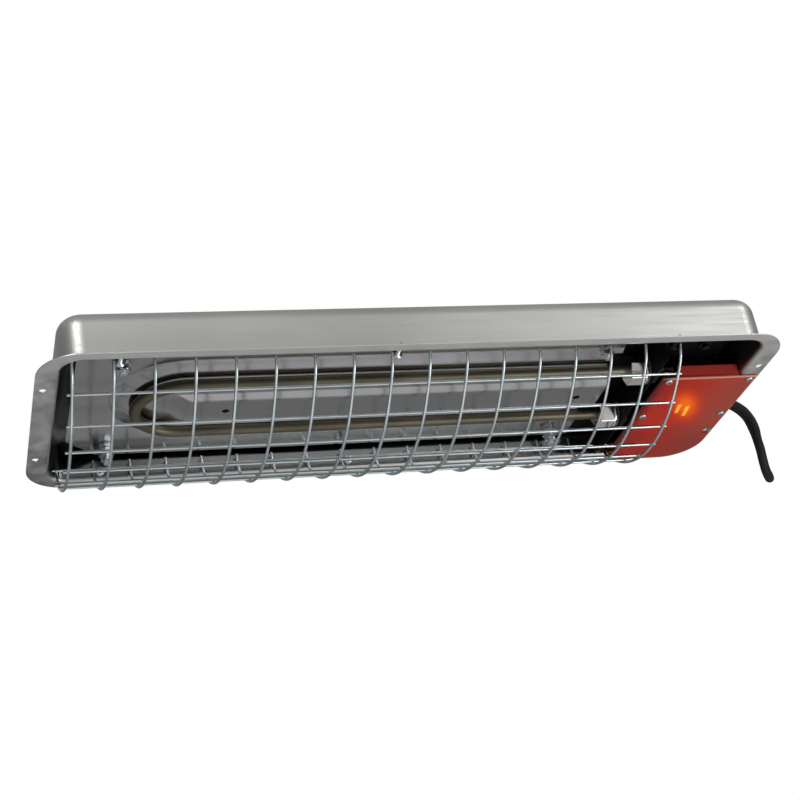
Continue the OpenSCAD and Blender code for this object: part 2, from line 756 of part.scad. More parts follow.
module terminal_screws() {
    color("gold") for (s = [-1, 1], x = [-1, 1])
        translate([block_x + x * block_l / 4, block_y + s * pole_gap / 2, tray_z - block_h])
            cylinder(d = terminal_screw_d, h = terminal_screw_h);
}

// Wires in the terminal end: each runs from its terminal's hole to the piece that it feeds
block_z = tray_z - block_h / 2;
core_d = 2.4;
core_sides = 8;
wire_in = 4;
// Where the cores turn down and along, and how far out of the terminals they run
core_turn = 9;
live_out = 7.2;
neutral_out = 4.3;
// Places of two conductors that share a terminal hole, above and below its middle
core_lift = 0.7;
neon_lift = -1.3;
near_pole = [block_x, block_y - pole_gap / 2, block_z];
far_pole = [block_x, block_y + pole_gap / 2, block_z];
block_left = [-block_l / 2, 0, 0];
block_right = [block_l / 2, 0, 0];
sheath_face = [wall_x - sheath_start, exit_y, exit_z];

module wire(points, d = core_d) { swept_tube(points, d, core_sides, [0.1, 0.2, 1]); }

module element_leads() {
    near = near_pole + block_left;
    far = far_pole + block_left;
    color("whitesmoke") {
        wire([
            [pin_end_x, leg_ys[0], element_z], [pin_end_x + 1.2, leg_ys[0], element_z],
            [pin_end_x + 2.4, leg_ys[0] + 2, element_z + 0.5],
            [pin_end_x + 3.8, leg_ys[0] + 5, element_z + 1.5],
            near + [-5.5, -5, -2], near + [-3.2, -1, -0.4],
            near - [1.5, 0, 0], near + [wire_in, 0, 0]
        ]);
        wire([
            [pin_end_x, leg_ys[1], element_z], [pin_end_x + 2.4, leg_ys[1], element_z],
            far + [-7, 37, -4.5], far + [-5.5, 23, -2.5], far + [-4.7, 9, -0.8], far + [-3.5, 2, -0.1],
            far - [1.5, 0, 0], far + [wire_in, 0, 0]
        ]);
    }
}

module neon_leads() {
    near = near_pole + block_right + [0, 0, neon_lift];
    far = far_pole + block_right + [0, 0, neon_lift];
    start = [lamp_x, lamp_y0 - holder_l, lamp_z];
    left = [electrode_gap / 2, 0, 0];
    color("tomato") {
        wire([
            start - left, start - left - [0, 3, 0], start + [0, -11, 0], near + [1, 1, -6.5],
            near + [3.5, 0, -4], near + [3, 0, -1], near + [1.3, 0, 0], near - [wire_in, 0, 0]
        ], electrode_d);
        wire([
            start + left, start + left - [0, 2, 0], start + left + [2.4, -5.5, 0.4], far + [2.5, 0, -4.5],
            far + [2.7, 0, -1.6], far + [1.3, 0, 0], far - [wire_in, 0, 0]
        ], electrode_d);
    }
}

// The cores leave the sheath in a triangle, drop past the tray's edge and turn into the terminal holes
module live_core() {
    pole = near_pole + block_right + [0, 0, core_lift];
    start = sheath_face + [0, -1.6, -0.9];
    color("saddlebrown") wire([
        start, start - [1, 0, 0], start + [-1.7, -2, -0.9],
        [pole[0] + live_out, exit_y - core_turn, pole[2] + 2],
        [pole[0] + live_out, exit_y - 2 * core_turn, pole[2] + 0.5], pole + [live_out, core_turn, 0],
        pole + [5.5, 3.5, 0],
        pole + [3.3, 0.5, 0], pole + [1.3, 0, 0], pole - [wire_in, 0, 0]
    ]);
}

module neutral_core() {
    pole = far_pole + block_right + [0, 0, core_lift];
    start = sheath_face + [0, 0, 1.8];
    color("royalblue") wire([
        start, start - [1.4, 0, 0], start + [-3.6, -1.4, -1.6],
        [pole[0] + neutral_out, exit_y - 0.7 * core_turn, pole[2] + 2.6],
        [pole[0] + neutral_out, exit_y - 1.4 * core_turn, pole[2] + 0.4], pole + [neutral_out, core_turn, 0],
        pole + [3.3, 2.5, 0],
        pole + [1.3, 0, 0], pole - [wire_in, 0, 0]
    ]);
}

module earth_core() {
    head = [earth_x + earth_head_d / 2 + clear / 3, earth_y, tray_z - earth_head_h / 2 - clear / 2];
    start = sheath_face + [0, 1.6, -0.9];
    color("yellowgreen") wire([
        start, start - [1.2, 0, 0], start + [-2.6, 1.6, 0], head + [7.5, -3.5, 0], head + [5.5, -0.7, 0],
        head + [3, 0, 0], head
    ]);
}

module earth_screw() {
    color("limegreen") translate([earth_x, earth_y, tray_z]) {
        translate([0, 0, -earth_head_h]) cylinder(d = earth_head_d, h = earth_head_h);
        cylinder(d = earth_screw_d, h = bulkhead_t + earth_tip);
    }
}

module guard_long_wires() {
    half = (long_n - 1) / 2;
    color("lightblue") for (k = [-half : half]) {
        p = long_place(k);
        translate([guard_x0 - long_over, p[0], p[1]]) rod_x(wire_d, guard_x1 - guard_x0 + 2 * long_over);
    }
}

// Arc of wire in a plane across the pan, between two angles from +Y towards +Z
module wire_arc(y, z, r, from, to) {
    translate([0, y, z]) rotate([90, 0, 90]) rotate(from) rotate_extrude(angle = to - from)
        translate([r, 0]) circle(d = wire_d);
}

module cross_wire() {
    wire_arc(0, arc_z, cross_r, -90 - arc_angle, -90 + arc_angle);
    wire_arc(shoulder_y, guard_turn_z, shoulder_r, -90 + arc_angle, 0);
    wire_arc(-shoulder_y, guard_turn_z, shoulder_r, 180, 270 - arc_angle);
    for (s = [-1, 1]) translate([0, s * guard_wall_y, guard_turn_z]) cylinder(d = wire_d, h = guard_tab);
    for (s = [-1, 1], p = bend_joints) translate([0, s * p[0], p[1]]) sphere(d = wire_d + joint_swell);
}

module guard_cross_wires() {
    color("lightcyan") for (i = [0 : cross_n - 1]) translate([guard_x0 + i * cross_pitch, 0, 0]) cross_wire();
}

module guard_screws() {
    color("gray") for (x = guard_screw_xs, s = [0, 1]) mirror([0, s, 0]) translate([x, 0, guard_screw_z]) {
        translate([0, guard_head_y - guard_head_h, 0]) rod_y(guard_head_d, guard_head_h);
        translate([0, guard_head_y, 0]) rod_y(guard_screw_d, wall_y + guard_tip - guard_head_y);
    }
}

// Rubber bush with a flange on each side of the wall, a sleeve inside and a tapered sleeve outside
module strain_relief() {
    color("darkslategray") translate([0, exit_y, exit_z]) difference() {
        union() {
            translate([inner_x - relief_in, 0, 0]) rod_x(relief_neck_d, relief_in + sheet_t + eps);
            translate([inner_x - relief_flange_t, 0, 0]) rod_x(relief_flange_d, relief_flange_t);
            translate([wall_x, 0, 0]) rod_x(relief_flange_d, relief_flange_t);
            translate([wall_x + relief_flange_t - eps, 0, 0]) rotate([0, 90, 0])
                cylinder(d1 = relief_neck_d, d2 = relief_tip_d, h = relief_l - relief_flange_t + eps);
        }
        translate([inner_x - relief_in - eps, 0, 0]) rod_x(cord_d, relief_l + sheet_t + relief_in + 2 * eps);
    }
}

module cord_lead() { color("black") swept_tube(lead_points, cord_d, cord_sides, [-0.6, 0.8, 0]); }
module cord_coil() { color("black") swept_tube(coil_points, cord_d, coil_sides, [0, 0, 1]); }
module cord_tail() { color("black") swept_tube(tail_points, cord_d, cord_sides, [0, 0, 1]); }

// Two flat ties round the coil's bundle, one on each side of its middle
module coil_ties() {
    low = coil_z - cord_d / 2 - clear - tie_t;
    tall = coil_pitch + cord_d + 2 * clear;
    r0 = coil_r0 - cord_d / 2 - clear;
    r1 = coil_r1 + cord_d / 2 + clear;
    color("dimgray") for (s = [0, 1]) translate([coil_x, coil_y, low]) mirror([s, 0, 0]) difference() {
        translate([r0 - tie_t, -tie_w / 2, 0]) cube([r1 - r0 + 2 * tie_t, tie_w, tall + 2 * tie_t]);
        translate([r0, -tie_w / 2 - eps, tie_t]) cube([r1 - r0, tie_w + 2 * eps, tall]);
    }
}

// Turned plug body along -X: a sleeve for the cord, a waisted grip and the round head
module plug_body() {
    head = plug_tail_l + plug_grip_l;
    color("black") translate([plug_x, coil_end[1], plug_z]) rotate([0, -90, 0]) difference() {
        rotate_extrude() polygon([
            [0, 0], [plug_tail_r, 0], [plug_tail_r + 1, plug_tail_l], [plug_grip_r, plug_tail_l + 4],
            [plug_grip_r - 1, plug_tail_l + plug_grip_l / 2], [plug_grip_r + 1, head - 5],
            [plug_r - 1, head], [plug_r, head + 2], [plug_r, head + plug_head_l], [0, head + plug_head_l]
        ]);
        for (s = [-1, 1]) translate([0, s * plug_pin_gap / 2, head + eps])
            cylinder(d = plug_pin_d, h = plug_head_l);
        for (s = [-1, 1]) translate([s * (plug_r - contact_t / 2), 0, head + plug_head_l / 2 + eps])
            cube([contact_t + eps, contact_w, plug_head_l], center = true);
    }
}

module plug_pins() {
    color("silver") for (s = [-1, 1])
        translate([plug_face_x - plug_pin_l, coil_end[1] + s * plug_pin_gap / 2, plug_z])
            rod_x(plug_pin_d, plug_pin_l + plug_head_l - eps);
}

module plug_earth_contacts() {
    contact_z = plug_r - contact_t / 2 - eps / 4;
    color("gold") for (s = [-1, 1])
        translate([plug_face_x + plug_head_l / 2 - eps, coil_end[1], plug_z + s * contact_z])
            cube([plug_head_l, contact_w, contact_t - eps / 2], center = true);
}

housing_pan();
reflector();
mounting_studs();
stud_backing_nuts();
stud_washers();
stud_nuts();
heating_element();
element_fittings();
element_gaskets();
element_lock_nuts();
element_insulators();
element_terminal_pins();
bulkhead_tray();
terminal_cover();
cover_screws();
cover_screw_nuts();
neon_lamp_glass();
neon_electrodes();
neon_holder();
terminal_block();
terminal_screws();
element_leads();
neon_leads();
live_core();
neutral_core();
earth_core();
earth_screw();
guard_long_wires();
guard_cross_wires();
guard_screws();
strain_relief();
cord_lead();
cord_coil();
cord_tail();
coil_ties();
plug_body();
plug_pins();
plug_earth_contacts();
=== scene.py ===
"""Hanging heat lamp warmer: a drawn steel pan, mouth down, with a tubular element behind a wire guard."""

import json
import math

import bmesh
import bpy
from mathutils import Matrix, Vector

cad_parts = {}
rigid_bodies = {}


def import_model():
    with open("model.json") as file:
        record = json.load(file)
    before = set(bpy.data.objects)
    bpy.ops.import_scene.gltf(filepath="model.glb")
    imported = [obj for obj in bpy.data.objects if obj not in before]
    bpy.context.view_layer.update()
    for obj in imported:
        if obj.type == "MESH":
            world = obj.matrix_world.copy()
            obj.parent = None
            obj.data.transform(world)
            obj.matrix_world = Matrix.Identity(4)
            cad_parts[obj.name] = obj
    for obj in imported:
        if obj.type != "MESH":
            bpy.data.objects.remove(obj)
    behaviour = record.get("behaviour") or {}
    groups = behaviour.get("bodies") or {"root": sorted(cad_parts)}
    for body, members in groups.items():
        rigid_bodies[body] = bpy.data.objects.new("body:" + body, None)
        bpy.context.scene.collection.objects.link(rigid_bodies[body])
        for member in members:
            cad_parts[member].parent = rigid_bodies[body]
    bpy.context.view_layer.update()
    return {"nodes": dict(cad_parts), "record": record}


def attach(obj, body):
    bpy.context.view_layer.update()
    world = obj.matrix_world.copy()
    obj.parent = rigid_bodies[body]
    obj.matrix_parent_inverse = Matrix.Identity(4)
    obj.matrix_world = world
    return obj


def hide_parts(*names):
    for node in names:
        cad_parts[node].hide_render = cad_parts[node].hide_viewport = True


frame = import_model()
NODES = frame["nodes"]
SLOTS = {entry["node"]: entry["material_slot"] for entry in frame["record"]["subparts"]}
MM = 0.001

# Sizes that the scene shares with the part's source, in millimetres
FLANGE_L, FLANGE_W, END_LIP, SIDE_LIP = 506.0, 188.0, 14.0, 8.5
PAN_H, SHEET_T, CLEAR = 38.0, 1.0, 0.3
REFLECTOR_GAP, REFLECTOR_STOP, REFLECTOR_T, BORDER_Z = 12.0, 20.0, 0.8, 17.0
TERMINAL_L, TRAY_Z, TRAY_T, ELEMENT_Y = 70.0, 20.0, 1.2, -1.5
STUD_D, STUD_W, STUD_MID_Y, STUD_LEFT, STUD_RIGHT, TRAY_STUD_Y = 5.0, 127.0, 7.5, 28.5, 16.5, 62.0
NUT_AF, NUT_H, WASHER_T = 8.0, 4.0, 1.0
COVER_T, COVER_FOLD, COVER_SCREW_IN, COVER_SCREW_W = 1.5, 37.0, 3.8, 52.0
COVER_GAP, COVER_SCREW_LEFT, COVER_SCREW_EDGE = 9.0, 7.0, 6.5
WIRE_D, CROSS_PITCH, LONG_N, LONG_OVER, WELD_SINK = 2.0, 25.4, 9, 3.0, 0.2
GUARD_GAP, GUARD_SIDE, GUARD_DROP, GUARD_OVER, GUARD_TURN_Z, GUARD_TAB = 5.5, 3.0, 36.0, 8.0, 11.0, 2.0
SHOULDER_R, EDGE_WIRE_ANGLE = 25.0, 77.0
SCREW_D, GUARD_SCREW_SIDE, GUARD_SCREW_TIP = 3.0, 4.0, 4.0
CORD_D, RELIEF_IN, EXIT_Y, EXIT_Z, TIE_T = 7.0, 4.0, 38.0, 19.0, 1.2
COIL_TURNS, COIL_ROOM, COIL_MID_R, PLUG_R, TAIL_L = 3, 0.7, 40.0, 18.5, 66.0

# Walls, sheet ends and stud places worked out from them
WALL_X, WALL_Y = FLANGE_L / 2 - END_LIP, FLANGE_W / 2 - SIDE_LIP
INNER_X, INNER_Y = WALL_X - SHEET_T, WALL_Y - SHEET_T
BULKHEAD_X = INNER_X - TERMINAL_L
REFLECTOR_END = BULKHEAD_X - REFLECTOR_STOP
STUD_XS = (-INNER_X + REFLECTOR_GAP + STUD_LEFT, REFLECTOR_END - STUD_RIGHT)
STUD_YS = (STUD_MID_Y - STUD_W / 2, STUD_MID_Y + STUD_W / 2)
TRAY_STUDS = [((BULKHEAD_X + INNER_X) / 2, way * TRAY_STUD_Y) for way in (-1, 1)]


def metres(*sizes):
    """Sizes in millimetres as metres."""
    return [size * MM for size in sizes]


def place(point):
    """A point in millimetres as a vector in metres."""
    return Vector(point) * MM


def add_object(name, data):
    """A new object at the origin, in the scene."""
    item = bpy.data.objects.new(name, data)
    bpy.context.scene.collection.objects.link(item)
    return item


# Camera at the photograph's viewing angle, below the warmer and a little to its left
CAMERA_AT = (-328.0, -981.9, -503.2)
CAMERA_RIGHT = Vector((0.95878, -0.23169, -0.1645))
CAMERA_DOWN = Vector((-0.03699, 0.47222, -0.88071))
SENSOR_W, LENS, FAR_CLIP = 36.0, 75.4, 50.0


def make_camera():
    data = bpy.data.cameras.new("camera")
    data.sensor_fit = "HORIZONTAL"
    data.sensor_width = SENSOR_W
    data.lens = LENS
    data.clip_end = FAR_CLIP
    camera = add_object("camera", data)
    forward = CAMERA_RIGHT.cross(CAMERA_DOWN)
    turn = Matrix((CAMERA_RIGHT, -CAMERA_DOWN, -forward)).transposed()
    camera.matrix_world = Matrix.Translation(place(CAMERA_AT)) @ turn.to_4x4()
    bpy.context.scene.camera = camera


# Finishes. A wave texture of scale 1 runs through this many radians in a metre
WAVE_RATE = 20.0


class Finish:
    """A node material on Object coordinates, with short calls for the nodes that the finishes share."""

    def __init__(self, name, **sockets):
        self.material = bpy.data.materials.new(name)
        self.material.use_nodes = True
        self.tree = self.material.node_tree
        self.shader = self.tree.nodes["Principled BSDF"]
        self.coords = self.tree.nodes.new("ShaderNodeTexCoord").outputs["Object"]
        for key, value in sockets.items():
            self.shader.inputs[key.replace("_", " ").title()].default_value = value

    def set(self, socket, value):
        self.shader.inputs[socket].default_value = value
        return self

    def link(self, output, socket):
        self.tree.links.new(output, self.shader.inputs[socket])
        return self

    def mapped(self, kind="POINT", **values):
        node = self.tree.nodes.new("ShaderNodeMapping")
        node.vector_type = kind
        for key, value in values.items():
            node.inputs[key.title()].default_value = value
        self.tree.links.new(self.coords, node.inputs["Vector"])
        return node.outputs["Vector"]

    def noise(self, scale, stretch=(1, 1, 1), detail=3.0):
        node = self.tree.nodes.new("ShaderNodeTexNoise")
        node.inputs["Scale"].default_value = scale
        node.inputs["Detail"].default_value = detail
        self.tree.links.new(self.mapped(scale=stretch), node.inputs["Vector"])
        return node.outputs["Fac"]

    def thread(self, axis, pitch):
        """Bands along an axis, one for each turn of a screw thread."""
        node = self.tree.nodes.new("ShaderNodeTexWave")
        node.bands_direction = axis
        node.inputs["Scale"].default_value = 2 * math.pi / (WAVE_RATE * pitch * MM)
        self.tree.links.new(self.coords, node.inputs["Vector"])
        return node.outputs["Fac"]

    def split(self, vector):
        node = self.tree.nodes.new("ShaderNodeSeparateXYZ")
        self.tree.links.new(vector, node.inputs["Vector"])
        return node.outputs

    def distance(self, point, stretch=(1, 1, 1), angle=0.0):
        """Distance from a point, with rings stretched along axes that are turned about Z."""
        node = self.tree.nodes.new("ShaderNodeVectorMath")
        node.operation = "LENGTH"
        turn = (0, 0, math.radians(angle))
        placed = self.mapped("TEXTURE", location=place(point), rotation=turn, scale=stretch)
        self.tree.links.new(placed, node.inputs[0])
        return node.outputs["Value"]

    def math(self, operation, a, b):
        node = self.tree.nodes.new("ShaderNodeMath")
        node.operation = operation
        for socket, value in zip(node.inputs, (a, b)):
            if isinstance(value, float):
                socket.default_value = value
            else:
                self.tree.links.new(value, socket)
        return node.outputs["Value"]

    def ramp(self, factor, *stops):
        node = self.tree.nodes.new("ShaderNodeValToRGB")
        elements = node.color_ramp.elements
        while len(elements) < len(stops):
            elements.new(0.5)
        for element, (position, colour) in zip(elements, stops):
            element.position = position
            element.color = (*colour, 1.0)
        self.tree.links.new(factor, node.inputs["Fac"])
        return node.outputs["Color"]

    def mix(self, factor, a, b):
        node = self.tree.nodes.new("ShaderNodeMix")
        node.data_type = "RGBA"
        for socket, value in ((node.inputs[0], factor), (node.inputs[6], a), (node.inputs[7], b)):
            if isinstance(value, tuple):
                socket.default_value = (*value, 1.0)
            else:
                self.tree.links.new(value, socket)
        return node.outputs[2]

    def span(self, factor, low, high, start=0.0, end=1.0):
        """A factor brought from the range start to end into the range low to high."""
        node = self.tree.nodes.new("ShaderNodeMapRange")
        for socket, value in zip(("From Min", "From Max", "To Min", "To Max"), (start, end, low, high)):
            node.inputs[socket].default_value = value
        self.tree.links.new(factor, node.inputs["Value"])
        return node.outputs["Result"]

    def fade(self, axis, start, end, low=0.0, high=1.0):
        """A factor that goes from low to high between two places along an axis, in millimetres."""
        return self.span(self.split(self.coords)[axis], low, high, *metres(start, end))

    def bump(self, height, strength, distance):
        node = self.tree.nodes.new("ShaderNodeBump")
        node.inputs["Strength"].default_value = strength
        node.inputs["Distance"].default_value = distance * MM
        self.tree.links.new(height, node.inputs["Height"])
        return self.link(node.outputs["Normal"], "Normal")


# Heights of the flange's underside and of the painted shade inside the pan, and the span from near to far
# over which the flange's underside goes from light to dark
UNDERSIDE_Z, INNER_SHADE_Z, UNDERSIDE_FADE_Y = (0.2, 0.6), (0.5, 5.0), (-70.0, 80.0)
# Where a painted highlight runs along the near lip's outer edge
NEAR_HIGHLIGHT_Y = (-WALL_Y - 0.5, -WALL_Y + 1.0)


def brushed_stainless(name, inner_shade=None, rough=(0.38, 0.50)):
    """Satin sheet with fine lines along the pan, a mottled flange underside that goes from light near to
    dark far with a painted highlight along the near lip, and a painted shade that deepens upwards.
    """
    f = Finish(name, metallic=1.0)
    cloud = f.noise(14.0, (0.5, 1, 2), 4.0)
    lines = f.noise(700.0, (0.02, 1, 1), 2.0)
    grey = f.ramp(cloud, (0.3, (0.47, 0.47, 0.445)), (0.7, (0.59, 0.59, 0.565)))
    sheet = f.mix(f.span(lines, 0.0, 0.25, 0.5, 0.7), grey, (0.42, 0.42, 0.40))
    underside = f.fade("Z", *UNDERSIDE_Z, 1.0, 0.0)
    mottle = f.span(f.noise(60.0, detail=5.0), -1.0, 1.05)
    # The flange's underside goes from light at the near side to dark at the far side, mottled
    fade_and_mottle = f.math("ADD", f.fade("Y", *UNDERSIDE_FADE_Y, 0.76, 0.22), mottle)
    underside_grey = f.ramp(fade_and_mottle, (0.0, (0.26, 0.26, 0.255)), (1.0, (0.80, 0.80, 0.785)))
    sheet = f.mix(underside, sheet, underside_grey)
    # Painted highlight along the near lip's outer edge
    near_lip_highlight = f.math("MULTIPLY", underside, f.fade("Y", *NEAR_HIGHLIGHT_Y, 1.0, 0.0))
    sheet = f.mix(near_lip_highlight, sheet, (0.82, 0.82, 0.80))
    # Painted shade inside the pan, deepening upwards
    if inner_shade:
        sheet = f.mix(f.fade("Z", *INNER_SHADE_Z), sheet, inner_shade)
    f.link(sheet, "Base Color")
    smudges = f.span(f.noise(20.0, (0.6, 1, 1), 5.0), 0.8, 1.2)
    f.link(f.math("MULTIPLY", f.span(lines, *rough, 0.3, 0.7), smudges), "Roughness")
    return f.bump(lines, 0.05, 0.2).material


# Where a painted reflection brightens the reflector, where painted shade darkens its ends, and how far the
# painted shade round the element reaches
REFLECTION_Y, SHADE_LEFT_X, SHADE_RIGHT_X = (30.0, 36.0), (-180.0, -145.0), (20.0, 130.0)
SHADE_REACH, SHADE_DRIFT, SHADE_STRETCH = (24.0, 38.0), 6.0, (7.5, 1, 1)


def polished_sheet():
    """Wavy mirror sheet with painted shade round the element and towards its ends, and a painted reflection
    brightening a strip on its far side.
    """
    f = Finish("polished_reflector", metallic=1.0)
    cloud = f.noise(14.0, (0.5, 1, 1))
    sheet_and_reflection = f.ramp(cloud, (0.3, (0.66, 0.65, 0.67)), (0.7, (0.78, 0.77, 0.79)))
    # Painted reflection: a strip on the far side is brightened
    sheet_and_reflection = f.mix(f.fade("Y", *REFLECTION_Y), sheet_and_reflection, (0.93, 0.92, 0.94))
    # Painted shade round the element, its edge wandering with the cloud
    drift = f.span(cloud, *metres(-SHADE_DRIFT, SHADE_DRIFT))
    away = f.math("ADD", f.distance((0, ELEMENT_Y, 0), SHADE_STRETCH), drift)
    shade_round_element = f.span(away, 1.0, 0.0, *metres(*SHADE_REACH))
    # Painted shade towards both ends of the reflector
    ends = f.math("MAXIMUM", f.fade("X", *SHADE_LEFT_X, 0.75, 0.0), f.fade("X", *SHADE_RIGHT_X, 0.0, 0.65))
    f.link(f.mix(f.math("MAXIMUM", shade_round_element, ends), sheet_and_reflection, (0.36, 0.355, 0.36)), "Base Color")
    f.link(f.span(cloud, 0.11, 0.22), "Roughness")
    return f.bump(f.noise(22.0, (0.6, 1, 1), 1.0), 0.30, 2.0).material


def plated(name, low, high, rough, spots=160.0, thread=None):
    """Plated metal between two colours, smooth or with a thread."""
    f = Finish(name, metallic=1.0)
    cloud = f.noise(spots)
    f.link(f.ramp(cloud, (0.3, low), (0.7, high)), "Base Color")
    f.link(f.span(cloud, rough * 0.8, rough * 1.3), "Roughness")
    if thread:
        return f.bump(f.thread(*thread), 0.8, 0.6).material
    return f.bump(f.noise(900.0), 0.05, 0.2).material


def oxidised_sheath():
    """Olive brown oxide, blotchy along the tube."""
    f = Finish("element_sheath", metallic=0.85)
    cloud = f.noise(45.0, (0.4, 1, 1), 4.0)
    dark, brown, pale = (0.10, 0.090, 0.060), (0.155, 0.140, 0.098), (0.22, 0.200, 0.148)
    f.link(f.ramp(cloud, (0.25, dark), (0.55, brown), (0.8, pale)), "Base Color")
    f.link(f.span(f.noise(160.0), 0.30, 0.46), "Roughness")
    return f.bump(f.noise(1100.0), 0.08, 0.2).material


def matt(name, low, high, rough, grain=600.0, bump=0.15, gloss=0.5):
    """Rubber, plastic, fibre or paint between two colours, with a fine grain."""
    f = Finish(name).set("Specular IOR Level", gloss)
    cloud = f.noise(60.0, detail=4.0)
    f.link(f.ramp(cloud, (0.3, low), (0.7, high)), "Base Color")
    f.link(f.span(cloud, rough - 0.06, rough + 0.06), "Roughness")
    return f.bump(f.noise(grain), bump, 0.3).material


def striped_core():
    """Earth core in green with yellow stripes."""
    f = Finish("green_core", roughness=0.45)
    stripe = f.span(f.noise(320.0, (1, 0.2, 1), 0.0), 0.0, 1.0, 0.48, 0.52)
    f.link(f.mix(stripe, (0.06, 0.26, 0.03), (0.62, 0.50, 0.03)), "Base Color")
    return f.bump(f.noise(700.0), 0.1, 0.2).material


# Shades of the cover: paler towards the end lip, painted shade at the far side and near black painted shade
# at the bulkhead, and on the fold a wall painted paler with a painted highlight along its edge
PALE_END_X, SHADE_Y, SHADED_END_X = (208.0, 240.0), (30.0, 65.0), (176.5, 186.0)
LIT_WALL_Z, HIGHLIGHT_Z, HIGHLIGHT_Y = (0.5, 1.5), (-0.8, -0.1), (0.9 - COVER_FOLD, 1.6 - COVER_FOLD)
# The lit lamp's light painted on the cover: a painted halo, and a painted bar for each electrode with its
# turn and half length
HALO_AT, HALO_REACH, HALO_STRETCH, HALO_TURN = (212.0, 4.0, 0.0), (3.6, 16.0), (1, 2.5, 1), -28.5
BARS = (((208.1, 9.4, -COVER_T), -9.8, 6.6), ((215.8, 13.4, -COVER_T), -8.7, 7.6))
BAR_HALF_W, BAR_IN, BAR_OUT = 1.3, 0.5, 0.7


def lit_bar(f, point, angle, half_l):
    """Soft-edged bar of painted glow on the cover, where a lit electrode lies behind it."""
    along = f.split(f.mapped("TEXTURE", location=place(point), rotation=(0, 0, math.radians(angle))))
    masks = []
    for axis, half in (("X", BAR_HALF_W), ("Y", half_l)):
        off = f.math("ABSOLUTE", along[axis], 0.0)
        masks.append(f.span(off, 1.0, 0.0, *metres(half - BAR_IN, half + BAR_OUT)))
    return f.math("MULTIPLY", *masks)


def red_plastic():
    """See-through red sheet, paler towards the end lip, with painted shade at the far side and near black
    painted shade at one end, a fold whose wall is painted paler with a painted highlight along its edge, and
    the lamp behind it painted on as a glow.
    """
    f = Finish("red_cover", roughness=0.34).set("Specular IOR Level", 0.1)
    red = f.ramp(f.noise(25.0, detail=4.0), (0.3, (0.42, 0.021, 0.009)), (0.7, (0.65, 0.034, 0.013)))
    # Paler and pinker towards the end lip
    red = f.mix(f.fade("X", *PALE_END_X, 0.0, 0.9), red, (0.40, 0.072, 0.047))
    red = f.mix(f.fade("Y", *SHADE_Y, 0.0, 0.45), red, (0.22, 0.020, 0.015))
    # Painted light: the fold's wall is painted paler red
    red = f.mix(f.fade("Z", *LIT_WALL_Z, 0.0, 0.9), red, (0.70, 0.075, 0.053))
    # Painted highlight along the fold's edge
    fold_highlight = f.math("MULTIPLY", f.fade("Y", *HIGHLIGHT_Y, 1.0, 0.0), f.fade("Z", *HIGHLIGHT_Z, 0.9, 0.0))
    red = f.mix(fold_highlight, red, (0.92, 0.40, 0.32))
    # Painted glow of the lamp behind the cover, in its colour and its emission
    away = f.distance(HALO_AT, HALO_STRETCH, HALO_TURN)
    halo = f.math("POWER", f.span(away, 1.0, 0.0, *metres(*HALO_REACH)), 1.2)
    red = f.mix(halo, red, (0.50, 0.020, 0.0))
    # Painted shade at the bulkhead end: the cover goes near black
    f.link(f.mix(f.fade("X", *SHADED_END_X, 1.0, 0.0), red, (0.006, 0.004, 0.004)), "Base Color")
    # Painted glow where the electrodes lie behind the cover
    bars = f.math("MAXIMUM", *(lit_bar(f, *bar) for bar in BARS))
    glow = f.ramp(halo, (0.0, (0.35, 0.012, 0.0)), (0.45, (0.75, 0.08, 0.0)), (1.0, (1.0, 0.23, 0.0)))
    f.link(f.mix(bars, glow, (1.0, 0.42, 0.045)), "Emission Color")
    f.link(f.math("ADD", f.span(halo, 0.0, 0.50), f.span(bars, 0.0, 0.55)), "Emission Strength")
    return f.bump(f.noise(500.0), 0.03, 0.2).material


def neon_glass():
    f = Finish("neon_glass", roughness=0.05, transmission_weight=0.9)
    f.link(f.ramp(f.noise(90.0), (0.3, (1.0, 0.62, 0.30)), (0.7, (1.0, 0.72, 0.42))), "Base Color")
    f.set("Emission Color", (1.0, 0.30, 0.04, 1.0)).set("Emission Strength", 0.4)
    return f.material


def neon_glow():
    f = Finish("neon_electrodes", roughness=0.4)
    f.link(f.ramp(f.noise(200.0), (0.3, (1.0, 0.55, 0.10)), (0.7, (1.0, 0.70, 0.20))), "Base Color")
    f.set("Emission Color", (1.0, 0.55, 0.10, 1.0)).set("Emission Strength", 8.0)
    return f.material


# Plated metals: darkest and palest colour, roughness, and how fine the spots are
ZINC = ((0.50, 0.52, 0.54), (0.68, 0.70, 0.72), 0.24)
PLATED = {
    "zinc_steel": ZINC,
    "guard_wire": ((0.60, 0.67, 0.69), (0.74, 0.81, 0.83), 0.22, 90.0),
    "nickel_fitting": ((0.80, 0.78, 0.74), (0.92, 0.90, 0.87), 0.12, 60.0),
    "terminal_steel": ((0.50, 0.50, 0.50), (0.64, 0.64, 0.63), 0.3),
    "brass": ((0.62, 0.45, 0.18), (0.78, 0.60, 0.28), 0.25),
    "plug_metal": ((0.62, 0.61, 0.58), (0.76, 0.75, 0.72), 0.2),
}
